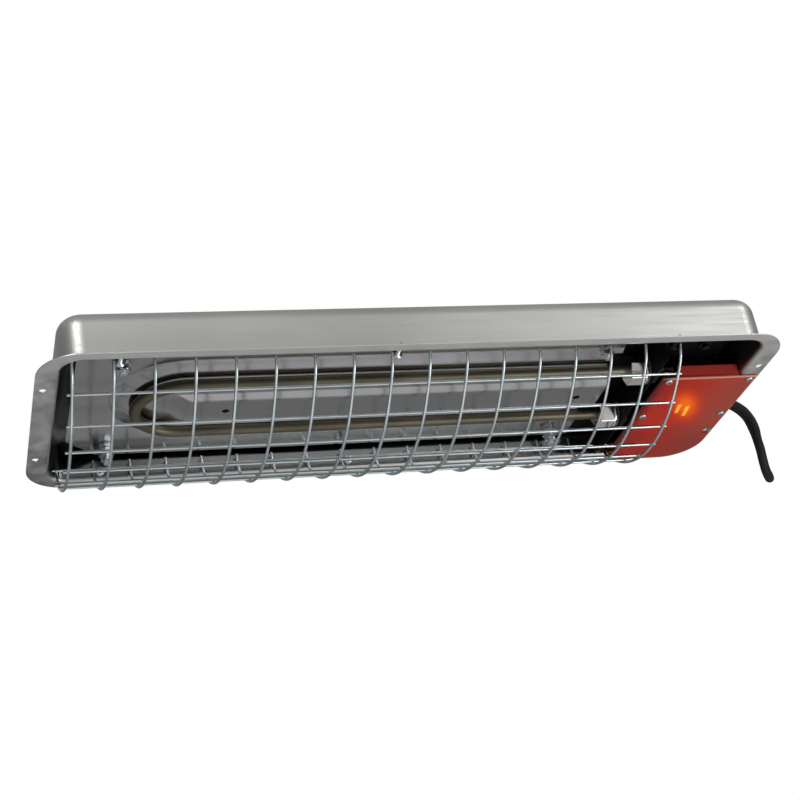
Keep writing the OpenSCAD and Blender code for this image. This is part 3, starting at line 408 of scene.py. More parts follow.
# Matt finishes: darkest and palest colour, roughness, grain, bump and gloss. The white leads, partly
# darkened by heat, the ceramic and the black sheet are near black as painted shade of the terminal end
MATT = {
    "gasket_fibre": ((0.10, 0.09, 0.08), (0.16, 0.15, 0.13), 0.8),
    "ceramic": ((0.016, 0.010, 0.007), (0.026, 0.016, 0.011), 0.4, 300.0, 0.05, 0.2),
    "black_sheet": ((0.002, 0.002, 0.002), (0.004, 0.004, 0.004), 0.6, 500.0, 0.05, 0.12),
    "white_lead": ((0.030, 0.028, 0.025), (0.050, 0.046, 0.040), 0.8, 900.0, 0.4, 0.2),
    "brown_core": ((0.13, 0.055, 0.02), (0.18, 0.08, 0.03), 0.45),
    "blue_core": ((0.03, 0.09, 0.36), (0.05, 0.12, 0.44), 0.45),
    "black_rubber": ((0.005, 0.005, 0.005), (0.010, 0.010, 0.010), 0.62, 800.0, 0.2, 0.3),
    "tie_plastic": ((0.012, 0.012, 0.012), (0.022, 0.022, 0.022), 0.4),
}
FINISHES = {
    "brushed_stainless": brushed_stainless("brushed_stainless"),
    "polished_reflector": polished_sheet(),
    "element_sheath": oxidised_sheath(),
    "red_cover": red_plastic(),
    "neon_glass": neon_glass(),
    "green_core": striped_core(),
}
FINISHES.update((slot, plated(slot, *values)) for slot, values in PLATED.items())
FINISHES.update((slot, matt(slot, *values)) for slot, values in MATT.items())

# Finishes of single pieces and of some of a piece's faces
STUD_PITCH = 0.8
THREADED = plated("zinc_steel_thread", *ZINC, thread=("Z", STUD_PITCH))
GLOW = neon_glow()
# Painted shade for the pan's inside faces
SHADED_INSIDE = brushed_stainless("painted_shade_inside", (0.15, 0.15, 0.145))
RUBBED = brushed_stainless("rubbed_inside", rough=(0.12, 0.20))
# Near black standing for the shade on fasteners in the terminal end: painted shade
SHADE_BLACK = matt("painted_shade_steel", (0.003, 0.003, 0.003), (0.006, 0.006, 0.006), 0.5, 400.0, 0.05, 0.15)


# Meshes: angle in degrees past which an edge stays sharp, on solids, turned pieces and nuts
SHARP_SOLID, SHARP_TURNED, SHARP_NUT = 32.0, 35.0, 25.0
# Points of a solid or of a seam that are closer are one, in millimetres, as are flatter faces, in degrees
SAME_POINT, SAME_SEAM, SAME_FACE = 0.002, 0.001, 0.4
# Angles between which an edge is rounded, in degrees: cut edges, and the pressed folds of the reflector
CUT_EDGES, PRESSED_FOLDS, PRESSED_SEGMENTS = (50, 181), (5, 50), 4
# How much the edges of each solid are rounded, in millimetres
SOFTENED = {
    "housing_pan": 0.25, "reflector": 1.8, "mounting_studs": 0.3, "stud_washers": 0.2,
    "heating_element": 0.3, "element_fittings": 0.6, "element_gaskets": 0.2, "element_lock_nuts": 0.5,
    "element_insulators": 0.4, "element_terminal_pins": 0.3, "bulkhead_tray": 0.3, "terminal_cover": 0.7,
    "cover_screw_nuts": 0.2, "neon_lamp_glass": 0.2, "neon_electrodes": 0.2, "neon_holder": 0.6,
    "terminal_block": 0.8, "terminal_screws": 0.3, "earth_screw": 0.5,
    "plug_pins": 0.8, "plug_earth_contacts": 0.1, "coil_ties": 0.3,
}


def new_piece(name, mesh, slot, *nodes, material=None):
    """A finished piece on the one body, with its finish, standing for the named nodes."""
    piece = add_object(name, mesh)
    mesh.materials.clear()
    mesh.materials.append(material or FINISHES[slot])
    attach(piece, "root")
    if nodes:
        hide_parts(*nodes)
    return piece


def shade(bm, angle):
    """Smooth shading with sharp edges where faces meet at more than an angle."""
    for face in bm.faces:
        face.smooth = True
    for edge in bm.edges:
        edge.smooth = len(edge.link_faces) == 2 and edge.calc_face_angle(0.0) < math.radians(angle)


def dress(node, folds=CUT_EDGES, segments=2, material=None):
    """A copy of a solid with its finish, smooth shading, and its edges between two angles made round."""
    mesh = NODES[node].data.copy()
    bm = bmesh.new()
    bm.from_mesh(mesh)
    bmesh.ops.remove_doubles(bm, verts=bm.verts, dist=SAME_POINT * MM)
    if node in SOFTENED:
        flat = math.radians(SAME_FACE)
        bmesh.ops.dissolve_limit(bm, angle_limit=flat, verts=bm.verts, edges=bm.edges)
        low, high = (math.radians(a) for a in folds)
        edges = [e for e in bm.edges if len(e.link_faces) == 2 and low < e.calc_face_angle(0.0) < high]
        bmesh.ops.bevel(
            bm, geom=edges, offset=SOFTENED[node] * MM, offset_type="OFFSET", segments=segments,
            profile=0.5, affect="EDGES", clamp_overlap=False,
        )
    shade(bm, SHARP_SOLID)
    bm.to_mesh(mesh)
    bm.free()
    piece = new_piece(node + "_finish", mesh, SLOTS[node], node, material=material)
    piece.modifiers.new("flat_faces", "WEIGHTED_NORMAL").keep_sharp = True
    return piece


def refinish(piece, finish, chosen):
    """A second finish on the faces that a test on their middle and heading chooses."""
    piece.data.materials.append(finish)
    for face in piece.data.polygons:
        if chosen(face.center, face.normal):
            face.material_index = len(piece.data.materials) - 1


# Half the length of the pan's middle line, how far a face must look at it, and how squarely a wall faces
MIDDLE_HALF, LOOKS_IN, SQUARELY = 150.0, 0.1, 0.9


def faces_inside(middle, heading):
    """Whether a face of the pan looks at its middle line, as its inside does, but not from the far wall."""
    half, least = metres(MIDDLE_HALF, LOOKS_IN)
    line = Vector((max(-half, min(half, middle.x)), 0, 0))
    return heading.dot(middle - line) < -least and heading.y > -SQUARELY


def on_far_wall(middle, heading):
    """Whether a face of the pan is the inside of its far wall."""
    return heading.y < -SQUARELY and middle.y > 0


def at_terminals(middle, heading):
    """Whether a face lies inside the pan past the reflector's end."""
    return middle.x > REFLECTOR_END * MM and abs(middle.y) < INNER_Y * MM


def to_mesh(bm, name):
    """The mesh of a finished bmesh."""
    mesh = bpy.data.meshes.new(name)
    bm.to_mesh(mesh)
    bm.free()
    return mesh


def circle(sides):
    """Cosine and sine at each corner of a round."""
    angles = [2 * math.pi * k / sides for k in range(sides)]
    return [(math.cos(a), math.sin(a)) for a in angles]


def bridge(bm, rings):
    """Faces from each ring of points to the next. A ring may be a single point."""
    for low, high in zip(rings, rings[1:]):
        sides = max(len(low), len(high))
        for k in range(sides):
            j = (k + 1) % sides
            corners = [low[0]] if len(low) == 1 else [low[k], low[j]]
            corners += [high[0]] if len(high) == 1 else [high[j], high[k]]
            bm.faces.new(corners)


def turned(name, outline, sides=24):
    """Solid turned about Z from an outline of radius and height in millimetres, from its foot to its top."""
    bm = bmesh.new()
    rings = []
    for radius, height in outline:
        corners = circle(sides) if radius else [(0, 0)]
        rings.append([bm.verts.new(place((radius * c, radius * s, height))) for c, s in corners])
    bridge(bm, rings)
    shade(bm, SHARP_TURNED)
    return to_mesh(bm, name)


def tube_mesh(name, path, diameter, sides):
    """Round tube along a path in metres, with a ring at each point and closed ends."""
    last = len(path) - 1
    headings = [(path[min(i + 1, last)] - path[max(i - 1, 0)]).normalized() for i in range(last + 1)]
    normal = headings[0].orthogonal().normalized()
    bm = bmesh.new()
    rings = []
    for point, heading in zip(path, headings):
        normal = (normal - heading * normal.dot(heading)).normalized()
        side = heading.cross(normal)
        corners = [point + diameter / 2 * (c * normal + s * side) for c, s in circle(sides)]
        rings.append([bm.verts.new(corner) for corner in corners])
    bridge(bm, rings)
    for face in bm.faces:
        face.smooth = True
    bm.faces.new(reversed(rings[0]))
    bm.faces.new(rings[-1])
    return to_mesh(bm, name)


# Geometry trees
WIRE_SIDES = 12


class Tree:
    """A geometry tree with named inputs and short calls for its nodes."""

    def __init__(self, name, **inputs):
        self.tree = bpy.data.node_groups.new(name, "GeometryNodeTree")
        face = self.tree.interface
        face.new_socket("Geometry", in_out="INPUT", socket_type="NodeSocketGeometry")
        self.ids = {}
        for key, kind in inputs.items():
            label = key.replace("_", " ").capitalize()
            socket = face.new_socket(label, in_out="INPUT", socket_type="NodeSocket" + kind)
            self.ids[key] = socket.identifier
        face.new_socket("Geometry", in_out="OUTPUT", socket_type="NodeSocketGeometry")
        self.given = self.tree.nodes.new("NodeGroupInput").outputs

    def add(self, kind, output=0, **sockets):
        node = self.tree.nodes.new(kind)
        for key, value in sockets.items():
            socket = node.inputs[key.replace("_", " ")]
            if isinstance(value, bpy.types.NodeSocket):
                self.tree.links.new(value, socket)
            else:
                socket.default_value = value
        return node.outputs[output]

    def vector_attribute(self, name):
        node = self.tree.nodes.new("GeometryNodeInputNamedAttribute")
        node.data_type = "FLOAT_VECTOR"
        node.inputs["Name"].default_value = name
        return node.outputs["Attribute"]

    def end(self, geometry):
        solid = self.add("GeometryNodeRealizeInstances", Geometry=geometry)
        dressed = self.add("GeometryNodeSetMaterial", Geometry=solid, Material=self.given["Finish"])
        self.tree.links.new(dressed, self.tree.nodes.new("NodeGroupOutput").inputs[0])
        return self

    def grow(self, name, seed, **values):
        """The plain mesh that the tree makes from a starting mesh."""
        holder = add_object(name, seed)
        modifier = holder.modifiers.new(name, "NODES")
        modifier.node_group = self.tree
        for key, value in values.items():
            modifier[self.ids[key]] = value
        seen = holder.evaluated_get(bpy.context.evaluated_depsgraph_get())
        mesh = bpy.data.meshes.new_from_object(seen)
        holder.modifiers.remove(modifier)
        bpy.data.objects.remove(holder)
        mesh.name = name
        return mesh


def wire_tree():
    """Round wire along each edge path of the starting mesh, repeated in rows along X."""
    t = Tree("guard_wire_rows", wire_radius="Float", rows="Int", pitch="Float", finish="Material")
    ring = t.add("GeometryNodeCurvePrimitiveCircle", Resolution=WIRE_SIDES, Radius=t.given["Wire radius"])
    path = t.add("GeometryNodeMeshToCurve", Mesh=t.given["Geometry"])
    wire = t.add("GeometryNodeCurveToMesh", Curve=path, Profile_Curve=ring, Fill_Caps=True)
    step = t.add("ShaderNodeCombineXYZ", X=t.given["Pitch"])
    line = t.add("GeometryNodeMeshLine", Count=t.given["Rows"], Offset=step)
    return t.end(t.add("GeometryNodeInstanceOnPoints", Points=line, Instance=wire))


def fastener_tree():
    """One shape on each point of the starting mesh, turned by the point's own angles."""
    t = Tree("fasteners_on_points", shape="Object", finish="Material")
    shape = t.add("GeometryNodeObjectInfo", "Geometry", Object=t.given["Shape"])
    turn = t.add("FunctionNodeEulerToRotation", Euler=t.vector_attribute("turn"))
    spots = t.given["Geometry"]
    return t.end(t.add("GeometryNodeInstanceOnPoints", Points=spots, Instance=shape, Rotation=turn))


WIRES = wire_tree()
FASTENERS = fastener_tree()


def path_mesh(name, paths):
    """Mesh of open edge paths in millimetres."""
    points, edges = [], []
    for path in paths:
        edges += [(len(points) + i, len(points) + i + 1) for i in range(len(path) - 1)]
        points += [place(p) for p in path]
    mesh = bpy.data.meshes.new(name)
    mesh.from_pydata(points, edges, [])
    return mesh


def fasten(name, shape, spots, finish):
    """A shape repeated on spots, each a point in millimetres and a turn in degrees."""
    points = bpy.data.meshes.new(name)
    points.from_pydata([place(p) for p, _ in spots], [], [])
    turns = points.attributes.new("turn", "FLOAT_VECTOR", "POINT")
    for item, (_, turn) in zip(turns.data, spots):
        item.vector = [math.radians(a) for a in turn]
    model = add_object(name + "_shape", shape)
    mesh = FASTENERS.grow(name, points, shape=model, finish=finish)
    bpy.data.objects.remove(model)
    return mesh


# Mains cord: from the strain relief down, up again in a loop, into a coil on the pan's back, to the plug
ROUTE_OUT = 3.0
ROUTE_X = WALL_X + ROUTE_OUT
EXIT = (INNER_X - RELIEF_IN, EXIT_Y, EXIT_Z)
COIL_Z = PAN_H + TIE_T + CLEAR + CORD_D / 2
LEAD = [
    EXIT, (ROUTE_X + 2, EXIT_Y, EXIT_Z), (ROUTE_X + 12, EXIT_Y, EXIT_Z), (ROUTE_X + 19, EXIT_Y, 18),
    (ROUTE_X + 26, EXIT_Y, 15.5), (ROUTE_X + 32, EXIT_Y, 11.5), (ROUTE_X + 36, EXIT_Y, 7),
    (ROUTE_X + 39, EXIT_Y, 0), (ROUTE_X + 40, EXIT_Y, -7),
    (ROUTE_X + 40, 39, -14), (ROUTE_X + 42, 42, -22), (ROUTE_X + 44, 46, -27),
    (ROUTE_X + 48, 53, -33), (ROUTE_X + 54, 62, -35), (ROUTE_X + 60, 71, -33), (ROUTE_X + 64, 78, -27),
    (ROUTE_X + 66, 83, -20), (ROUTE_X + 68, 86, -7), (ROUTE_X + 68, 86, 5), (ROUTE_X + 67, 86, 16),
    (ROUTE_X + 64, 86, 28), (ROUTE_X + 56, 86, 37), (ROUTE_X + 43, 84, 42), (ROUTE_X + 24, 79, COIL_Z),
    (ROUTE_X, 71, COIL_Z), (ROUTE_X - 25, 65, COIL_Z), (ROUTE_X - 55, 62, COIL_Z),
    (ROUTE_X - 90, 62, COIL_Z), (ROUTE_X - 122, 62, COIL_Z),
]
COIL_PITCH = CORD_D + COIL_ROOM
COIL_R = COIL_MID_R + COIL_TURNS / 2 * COIL_PITCH
COIL_X, COIL_Y = LEAD[-1][0] - CORD_D, LEAD[-1][1] - COIL_R
CLIMB_TURNS, TURN_POINTS = 0.5, 48
CLIMB_START = COIL_TURNS - CLIMB_TURNS / 2
PLUG_X, PLUG_Y, PLUG_Z = COIL_X - CORD_D - TAIL_L, LEAD[-1][1], PAN_H + PLUG_R + CLEAR
# The tail's points behind the coil's end, and before the plug
TAIL_STEPS = ((0, 0), (-CORD_D, 0), (-16, 1), (-24, 2.5), (-33, 4.5), (-41, 5.7))
PLUG_STEPS = (16, CORD_D, 0)
CURVE_STEPS, CORD_SIDES = 4, 16


def coil_point(turns):
    """The coil's middle line: in, up a layer, and out again, a number of turns each way."""
    radius = COIL_R - COIL_PITCH * min(turns, 2 * COIL_TURNS - turns)
    climbed = max(0.0, min(1.0, (turns - CLIMB_START) / CLIMB_TURNS))
    angle = 2 * math.pi * turns
    lift = COIL_PITCH * (1 - math.cos(math.pi * climbed)) / 2
    return Vector((COIL_X - radius * math.sin(angle), COIL_Y + radius * math.cos(angle), COIL_Z + lift))


def rounded(points):
    """Points along a smooth curve through a route's points."""
    vectors = [Vector(p) for p in points]
    ends = [vectors[0]] + vectors + [vectors[-1]]
    path = []
    for a, b, c, d in zip(ends, ends[1:], ends[2:], ends[3:]):
        for k in range(CURVE_STEPS):
            t = k / CURVE_STEPS
            bend = (2 * a - 5 * b + 4 * c - d) * t**2 + (3 * b - a - 3 * c + d) * t**3
            path.append(0.5 * (2 * b + (c - a) * t + bend))
    return path + [vectors[-1]]


# Plug outline: ribs of the cord sleeve, radii of the finger rings up the grip, and the round head
RIB_STEPS, RIB_PITCH, RIB_H, RIB_W, SLEEVE_R, SLEEVE_TAPER = 6, 1.5, 0.5, 0.2, 5.5, 0.08
GRIP_FOOT, GRIP_TOP = ((6.5, 11), (11.2, 15)), (12.6, 33)
GRIP_Z, GRIP_STEP = 16.5, 1.5
GRIP_RS = (12.0, 11.4, 11.9, 11.1, 11.5, 10.9, 11.3, 11.0, 11.6, 11.3)
PLUG_L, PLUG_SIDES = 55.0, 48
HEAD = ((16.8, 37.2), (17.6, 38), (18.2, 39), (PLUG_R, 40.5), (PLUG_R, 53.8), (18.2, 54.7), (17.4, PLUG_L))


def ribbed_plug():
    """Rubber plug turned about X: a ringed cord sleeve, a grip with finger rings, and a round head."""
    outline = [(0, 0), (SLEEVE_R, 0)]
    for k in range(1, RIB_STEPS):
        rib = RIB_H * (k % 2)
        steps = (RIB_PITCH * k, RIB_PITCH * k + RIB_W)
        outline += [(SLEEVE_R + SLEEVE_TAPER * z + rib, z) for z in steps]
    sleeve_l = RIB_PITCH * RIB_STEPS
    outline += [(SLEEVE_R + SLEEVE_TAPER * sleeve_l, sleeve_l), *GRIP_FOOT]
    outline += [(radius, GRIP_Z + GRIP_STEP * k) for k, radius in enumerate(GRIP_RS)]
    outline += [GRIP_TOP, *HEAD, (0, PLUG_L)]
    mesh = turned("plug_rubber", outline, PLUG_SIDES)
    spot = Matrix.Translation(place((PLUG_X, PLUG_Y, PLUG_Z)))
    mesh.transform(spot @ Matrix.Rotation(-math.pi / 2, 4, "Y"))
    return new_piece("plug_rubber", mesh, "black_rubber", "plug_body")


def make_cord():
    coil = [coil_point(k / TURN_POINTS) for k in range(2 * COIL_TURNS * TURN_POINTS + 1)]
    end = coil[-1] - Vector((CORD_D, 0, 0))
    tail = [end + Vector((x, 0, z)) for x, z in TAIL_STEPS]
    tail += [Vector((PLUG_X + x, PLUG_Y, PLUG_Z)) for x in PLUG_STEPS]
    path = [p * MM for p in rounded(LEAD) + coil + rounded(tail)]
    mesh = tube_mesh("mains_cord", path, CORD_D * MM, CORD_SIDES)
    piece = new_piece("mains_cord", mesh, "black_rubber", "cord_lead", "cord_coil", "cord_tail")
    plug = [ribbed_plug(), dress("plug_pins"), dress("plug_earth_contacts")]
    ties = dress("coil_ties")


# Guard: cross wires bent to one profile, long wires inside them, and a weld at each crossing
GUARD_X0 = -INNER_X + GUARD_GAP + WIRE_D / 2
CROSS_N = math.floor((BULKHEAD_X + GUARD_OVER - GUARD_X0) / CROSS_PITCH) + 1
GUARD_X1 = GUARD_X0 + (CROSS_N - 1) * CROSS_PITCH
SHOULDER_Y = INNER_Y - WIRE_D / 2 - GUARD_SIDE - SHOULDER_R
GUARD_RISE = GUARD_TURN_Z + GUARD_DROP - WIRE_D / 2
CROSS_R = (SHOULDER_Y**2 + GUARD_RISE**2 - SHOULDER_R**2) / (2 * (GUARD_RISE - SHOULDER_R))
ARC_Z = GUARD_TURN_Z - GUARD_RISE + CROSS_R
ARC_ANGLE = math.asin(SHOULDER_Y / (CROSS_R - SHOULDER_R))
LONG_INSET = WIRE_D - WELD_SINK
ARC_STEPS, SHOULDER_STEPS, WELD_SIDES = 20, 14, 10
WELD_NUGGET = ((0, -1.15), (0.8, -0.8), (1.2, 0.0), (0.8, 0.8), (0, 1.15))


def guard_point(angle, inset=0.0):
    """Place across and up on the guard's profile where its normal stands at an angle from straight down."""
    side = math.copysign(1.0, angle)
    a = abs(angle)
    if a <= ARC_ANGLE:
        return (side * (CROSS_R - inset) * math.sin(a), ARC_Z - (CROSS_R - inset) * math.cos(a))
    radius = SHOULDER_R - inset
    return (side * (SHOULDER_Y + radius * math.sin(a)), GUARD_TURN_Z - radius * math.cos(a))


def long_wire_angles():
    """Angles of the long wires, which lie at equal distances along the profile."""
    wide, turn = (CROSS_R - LONG_INSET) * ARC_ANGLE, SHOULDER_R - LONG_INSET
    half = (LONG_N - 1) // 2
    pitch = (wide + turn * (math.radians(EDGE_WIRE_ANGLE) - ARC_ANGLE)) / half
    angles = []
    for k in range(-half, half + 1):
        run = abs(k) * pitch
        angle = run / (CROSS_R - LONG_INSET) if run <= wide else ARC_ANGLE + (run - wide) / turn
        angles.append(math.copysign(angle, k))
    return angles


def make_wires(name, paths, node, rows=1, pitch=0.0):
    """Guard wires along paths in millimetres, repeated in rows along X."""
    mesh = WIRES.grow(
        name, path_mesh(name + "_path", paths), wire_radius=WIRE_D / 2 * MM, rows=rows, pitch=pitch * MM,
        finish=FINISHES["guard_wire"],
    )
    new_piece(name, mesh, "guard_wire", node)


def make_guard():
    bends = [ARC_ANGLE * k / ARC_STEPS for k in range(ARC_STEPS + 1)]
    turn = math.pi / 2 - ARC_ANGLE
    bends += [ARC_ANGLE + turn * k / SHOULDER_STEPS for k in range(1, SHOULDER_STEPS + 1)]
    half = [guard_point(a) for a in bends]
    half.append((half[-1][0], GUARD_TURN_Z + GUARD_TAB))
    profile = [(GUARD_X0, -y, z) for y, z in reversed(half[1:])] + [(GUARD_X0, y, z) for y, z in half]
    make_wires("guard_cross_wire_rows", [profile], "guard_cross_wires", CROSS_N, CROSS_PITCH)
    ends = (GUARD_X0 - LONG_OVER, GUARD_X1 + LONG_OVER)
    places = [guard_point(a, LONG_INSET) for a in long_wire_angles()]
    make_wires("guard_long_wire_rows", [[(x, y, z) for x in ends] for y, z in places], "guard_long_wires")
    spots = []
    for angle in long_wire_angles():
        y, z = guard_point(angle, LONG_INSET / 2)
        turn = (math.degrees(angle), 0, 0)
        spots += [((GUARD_X0 + k * CROSS_PITCH, y, z), turn) for k in range(CROSS_N)]
    nugget = turned("weld", WELD_NUGGET, WELD_SIDES)
    welds = fasten("guard_welds", nugget, spots, FINISHES["guard_wire"])
    new_piece("guard_welds", welds, "guard_wire")


# Fasteners: head diameter, head height and shank length of the screws
COVER_HEAD_D, COVER_HEAD_H, COVER_SHANK_L = 6.0, 1.6, 5.0
GUARD_HEAD_D, GUARD_HEAD_H = 7.0, 2.5
# The first cover screw's turn, and the steps by which screws and each stud's nuts are turned, in degrees
SCREW_TURN, SCREW_STEP, NUT_STEP, BACK_NUT_STEP = 25, 31, 17, 23
# A pan head's outline and half its recess's length and width, as shares of the head's radius and height
DOME = ((0, 1.0), (0.45, 0.97), (0.75, 0.82), (0.93, 0.5), (1.0, 0.15))
RECESS_L, RECESS_W, RECESS_Z = 0.62, 0.15, 0.95
NUT_SIDES, NUT_CHAMFER, POINT_L, POINT_R = 24, 0.12, 0.6, 0.3


def cross_head(name, head_d, head_h, shank_l):
    """Pan-head screw with a cross recess, head below Z = 0 and shank above it."""
    r = head_d / 2
    outline = [(share * r, -height * head_h) for share, height in DOME]
    outline += [(r, 0), (SCREW_D / 2, 0), (SCREW_D / 2, shank_l - POINT_L)]
    outline += [(POINT_R * SCREW_D, shank_l), (0, shank_l)]
    screw = add_object(name, turned(name, outline))
    bm = bmesh.new()
    middle = Matrix.Translation(place((0, 0, -RECESS_Z * head_h)))
    for x, y in ((RECESS_L * r, RECESS_W * r), (RECESS_W * r, RECESS_L * r)):
        size = Matrix.Diagonal((*metres(2 * x, 2 * y, head_h), 1.0))
        bmesh.ops.create_cube(bm, size=1.0, matrix=middle @ size)
    recess = add_object(name + "_recess", to_mesh(bm, name + "_recess"))
    cut = screw.modifiers.new("recess", "BOOLEAN")
    cut.object = recess
    cut.solver = "EXACT"
    cut.use_self = True
    mesh = bpy.data.meshes.new_from_object(screw.evaluated_get(bpy.context.evaluated_depsgraph_get()))
    bpy.data.objects.remove(screw)
    bpy.data.objects.remove(recess)
    return mesh


def hex_nut(name, flats, height, bore):
    """Hexagon nut on Z = 0 with its corners turned off top and bottom, and a plain bore."""
    inside, corner = flats / 2, flats / math.sqrt(3)
    cut = NUT_CHAMFER * height
    outline = [(bore, 0), (inside, 0), (corner, cut)]
    outline += [(corner, height - cut), (inside, height), (bore, height)]
    bm = bmesh.new()
    rings = []
    for radius, z in outline:
        ring = []
        for k in range(NUT_SIDES):
            a = 2 * math.pi * k / NUT_SIDES
            nearest = (a + math.pi / 6) % (math.pi / 3) - math.pi / 6
            r = min(radius, inside / math.cos(math.pi / 6 - abs(nearest)))
            ring.append(bm.verts.new(place((r * math.cos(a), r * math.sin(a), z))))
        rings.append(ring)
    bridge(bm, rings + rings[:1])
    bmesh.ops.recalc_face_normals(bm, faces=bm.faces)
    shade(bm, SHARP_NUT)
    return to_mesh(bm, name)


def make_cover_screws():
    xs = (BULKHEAD_X + COVER_GAP + COVER_SCREW_LEFT, FLANGE_L / 2 - COVER_SCREW_EDGE)
    near = COVER_SCREW_IN - COVER_FOLD
    places = [(x, y, -COVER_T) for x in xs for y in (near, near + COVER_SCREW_W)]
    spots = [(point, (0, 0, SCREW_TURN + SCREW_STEP * i)) for i, point in enumerate(places)]
    screw = cross_head("cover_screw", COVER_HEAD_D, COVER_HEAD_H, COVER_SHANK_L)
    heads = fasten("cover_screw_heads", screw, spots, FINISHES["zinc_steel"])
    new_piece("cover_screw_heads", heads, "zinc_steel", "cover_screws")


def make_guard_screws():
    edge_y, edge_z = guard_point(math.radians(EDGE_WIRE_ANGLE), LONG_INSET)
    head_y = edge_y - WIRE_D / 2
    z = edge_z - WIRE_D / 2 - SCREW_D / 2 - CLEAR / 3
    middle = GUARD_X0 + (CROSS_N - 1) // 2 * CROSS_PITCH + GUARD_SCREW_SIDE
    xs = (GUARD_X0 + CROSS_PITCH + GUARD_SCREW_SIDE, middle, GUARD_X1 - GUARD_SCREW_SIDE)
    spots = [((x, way * head_y, z), (-90 * way, 0, 0)) for x in xs for way in (-1, 1)]
    screw = cross_head("guard_screw", GUARD_HEAD_D, GUARD_HEAD_H, WALL_Y + GUARD_SCREW_TIP - head_y)
    rows = fasten("guard_screw_rows", screw, spots, FINISHES["zinc_steel"])
    # Guard screws in the terminal end take the painted shade black
    refinish(new_piece("guard_screw_rows", rows, "zinc_steel", "guard_screws"), SHADE_BLACK, at_terminals)


def make_studs():
    zinc = FINISHES["zinc_steel"]
    sheet_studs = [(x, y, BORDER_Z, REFLECTOR_T) for x in STUD_XS for y in STUD_YS]
    tray_studs = [(x, y, TRAY_Z, TRAY_T) for x, y in TRAY_STUDS]
    under, over = [], []
    for i, (x, y, z, thick) in enumerate(sheet_studs + tray_studs):
        drops = (NUT_H, 2 * NUT_H + WASHER_T)
        under += [((x, y, z - drop), (0, 0, NUT_STEP * i + drop)) for drop in drops]
        over.append(((x, y, z + thick), (0, 0, BACK_NUT_STEP * i)))
    pairs = 2 * len(sheet_studs)
    # The tray's nut pairs take the painted shade black
    for name, spots, finish, nodes in (
        ("stud_nut_pairs", under[:pairs], zinc, ["stud_nuts"]),
        ("tray_nut_pairs", under[pairs:], SHADE_BLACK, []),
        ("stud_nuts_above", over, zinc, ["stud_backing_nuts"]),
    ):
        nut = hex_nut("stud_nut", NUT_AF, NUT_H, STUD_D / 2)
        new_piece(name, fasten(name, nut, spots, finish), "zinc_steel", *nodes, material=finish)
    # Studs and washers in the terminal end take the painted shade black
    refinish(dress("mounting_studs", material=THREADED), SHADE_BLACK, at_terminals)
    refinish(dress("stud_washers"), SHADE_BLACK, at_terminals)


# Strain relief: rubber bush with a flange on each side of the wall and a ringed, tapered sleeve
NECK_R, BUSH_R, BUSH_T, SLEEVE_L, SLEEVE_END_R, RELIEF_SIDES = 5.5, 7.0, 2.0, 15.0, 4.3, 32
NECK_EDGE, NECK_EDGE_L, BUSH_IN_EDGE, BUSH_OUT_EDGE = 0.4, 0.5, 0.4, 0.5
RING_N, RING_PITCH, RING_R, RING_TAPER = 5, 2.5, 5.45, 0.19
# Depth and place along the sleeve of a groove's two corners and of the ring's two corners after it
RING_STEPS = ((0.6, 0.3), (0.6, 1.0), (0.0, 1.4), (0.0, 2.2))


def make_strain_relief():
    bore, foot, top = CORD_D / 2, EXIT[0], WALL_X + SLEEVE_L
    inside, outside = INNER_X - BUSH_T, WALL_X + BUSH_T
    outline = [(bore, foot), (NECK_R - NECK_EDGE, foot), (NECK_R, foot + NECK_EDGE_L)]
    outline += [(NECK_R, inside), (BUSH_R - BUSH_IN_EDGE, inside), (BUSH_R, inside + BUSH_IN_EDGE)]
    outline += [(BUSH_R, INNER_X), (NECK_R, INNER_X), (NECK_R, WALL_X), (BUSH_R, WALL_X)]
    outline += [(BUSH_R, outside - BUSH_OUT_EDGE), (BUSH_R - BUSH_OUT_EDGE, outside)]
    for k in range(RING_N):
        start, radius = outside + RING_PITCH * k, RING_R - RING_TAPER * k
        outline += [(radius - depth, start + along) for depth, along in RING_STEPS]
    outline += [(SLEEVE_END_R, top), (bore, top), (bore, foot)]
    mesh = turned("strain_relief_rings", outline, RELIEF_SIDES)
    spot = Matrix.Translation(place((0, EXIT_Y, EXIT_Z)))
    mesh.transform(spot @ Matrix.Rotation(math.pi / 2, 4, "Y"))
    bm = bmesh.new()
    bm.from_mesh(mesh)
    bmesh.ops.remove_doubles(bm, verts=bm.verts, dist=SAME_SEAM * MM)
    bmesh.ops.recalc_face_normals(bm, faces=bm.faces)
    bm.to_mesh(mesh)
    bm.free()
    new_piece("strain_relief_rings", mesh, "black_rubber", "strain_relief")


# Stage: pale floor far below, a surround that is white to the camera, and five lights
FLOOR_SIZE, FLOOR_Z = 10.0, -1.5
SKY_LOW, SKY_HIGH, SKY_TOP = (0.13, 0.13, 0.135, 1.0), (0.40, 0.40, 0.40, 1.0), 0.9
# Each light's name, place, the point it faces, width and height in metres, and power in watts
LIGHTS = (
    ("key", (-1.0, -1.68, 1.0), (-0.25, -0.08, 0), (0.60, 1.2), 13.5),
    ("front", (0.2, -2.4, 1.2), (0.1, 0, 0), (2.2, 1.4), 3.0),
    ("right", (1.95, -1.9, 1.2), (0.2, 0, 0), (0.9, 1.4), 17.0),
    ("under", (0.75, -0.5, -0.8), (0.1, 0, 0), (0.6, 0.6), 4.0),
    ("below", (-0.05, 0.02, -0.9), (-0.05, 0.02, 0), (1.4, 0.5), 1.0),
)


def make_floor():
    bpy.ops.mesh.primitive_plane_add(size=FLOOR_SIZE, location=(0, 0, FLOOR_Z))
    floor = bpy.context.object
    floor.name = "floor"
    floor.data.materials.append(matt("pale_floor", (0.80, 0.80, 0.80), (0.84, 0.84, 0.84), 0.7, 40.0, 0.02))


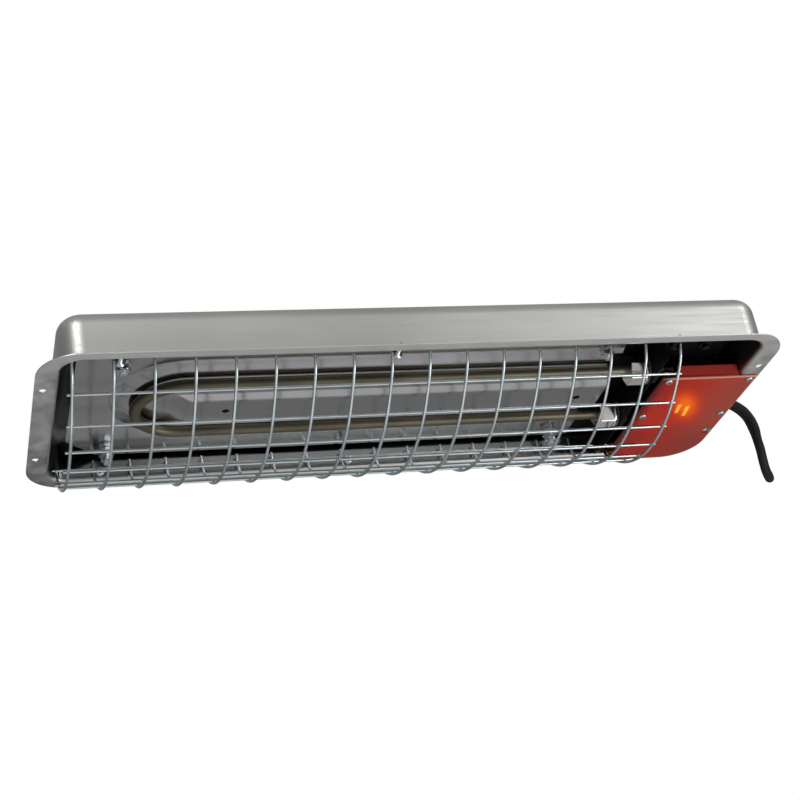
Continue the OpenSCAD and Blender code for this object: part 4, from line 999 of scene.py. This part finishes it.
def make_surround():
    """White where the camera looks at it, and a grey sky that pales upwards for everything else."""
    world = bpy.data.worlds.new("surround")
    bpy.context.scene.world = world
    world.use_nodes = True
    tree = world.node_tree
    coords = tree.nodes.new("ShaderNodeTexCoord")
    split = tree.nodes.new("ShaderNodeSeparateXYZ")
    ramp = tree.nodes.new("ShaderNodeValToRGB")
    tree.links.new(coords.outputs["Generated"], split.inputs["Vector"])
    tree.links.new(split.outputs["Z"], ramp.inputs["Fac"])
    low, high = ramp.color_ramp.elements
    low.position, low.color = 0.0, SKY_LOW
    high.position, high.color = SKY_TOP, SKY_HIGH
    seen = tree.nodes.new("ShaderNodeLightPath").outputs["Is Camera Ray"]
    white = tree.nodes.new("ShaderNodeMix")
    white.data_type = "RGBA"
    tree.links.new(seen, white.inputs[0])
    tree.links.new(ramp.outputs["Color"], white.inputs[6])
    white.inputs[7].default_value = (1.0, 1.0, 1.0, 1.0)
    tree.links.new(white.outputs[2], tree.nodes["Background"].inputs["Color"])


def make_lights():
    for name, where, at, size, power in LIGHTS:
        data = bpy.data.lights.new(name, "AREA")
        data.shape = "RECTANGLE"
        data.size, data.size_y = size
        data.energy = power
        light = add_object(name, data)
        light.location = where
        light.visible_camera = False
        light.rotation_euler = (Vector(at) - Vector(where)).to_track_quat("-Z", "Y").to_euler()


# Solids whose finish differs from that of their slot: the lock nuts and terminal pins take the near black of
# painted shade
OWN_FINISH = {
    "neon_electrodes": GLOW, "element_lock_nuts": SHADE_BLACK, "element_terminal_pins": SHADE_BLACK,
}

make_camera()
make_cord()
make_guard()
make_cover_screws()
make_guard_screws()
make_studs()
make_strain_relief()
dress("reflector", PRESSED_FOLDS, PRESSED_SEGMENTS)
pan = dress("housing_pan")
# The pan's inside faces take the painted shade
refinish(pan, SHADED_INSIDE, faces_inside)
refinish(pan, RUBBED, on_far_wall)
for node in SLOTS:
    if not NODES[node].hide_render:
        dress(node, material=OWN_FINISH.get(node))
make_floor()
make_surround()
make_lights()
bpy.context.scene.view_settings.view_transform = "Standard"
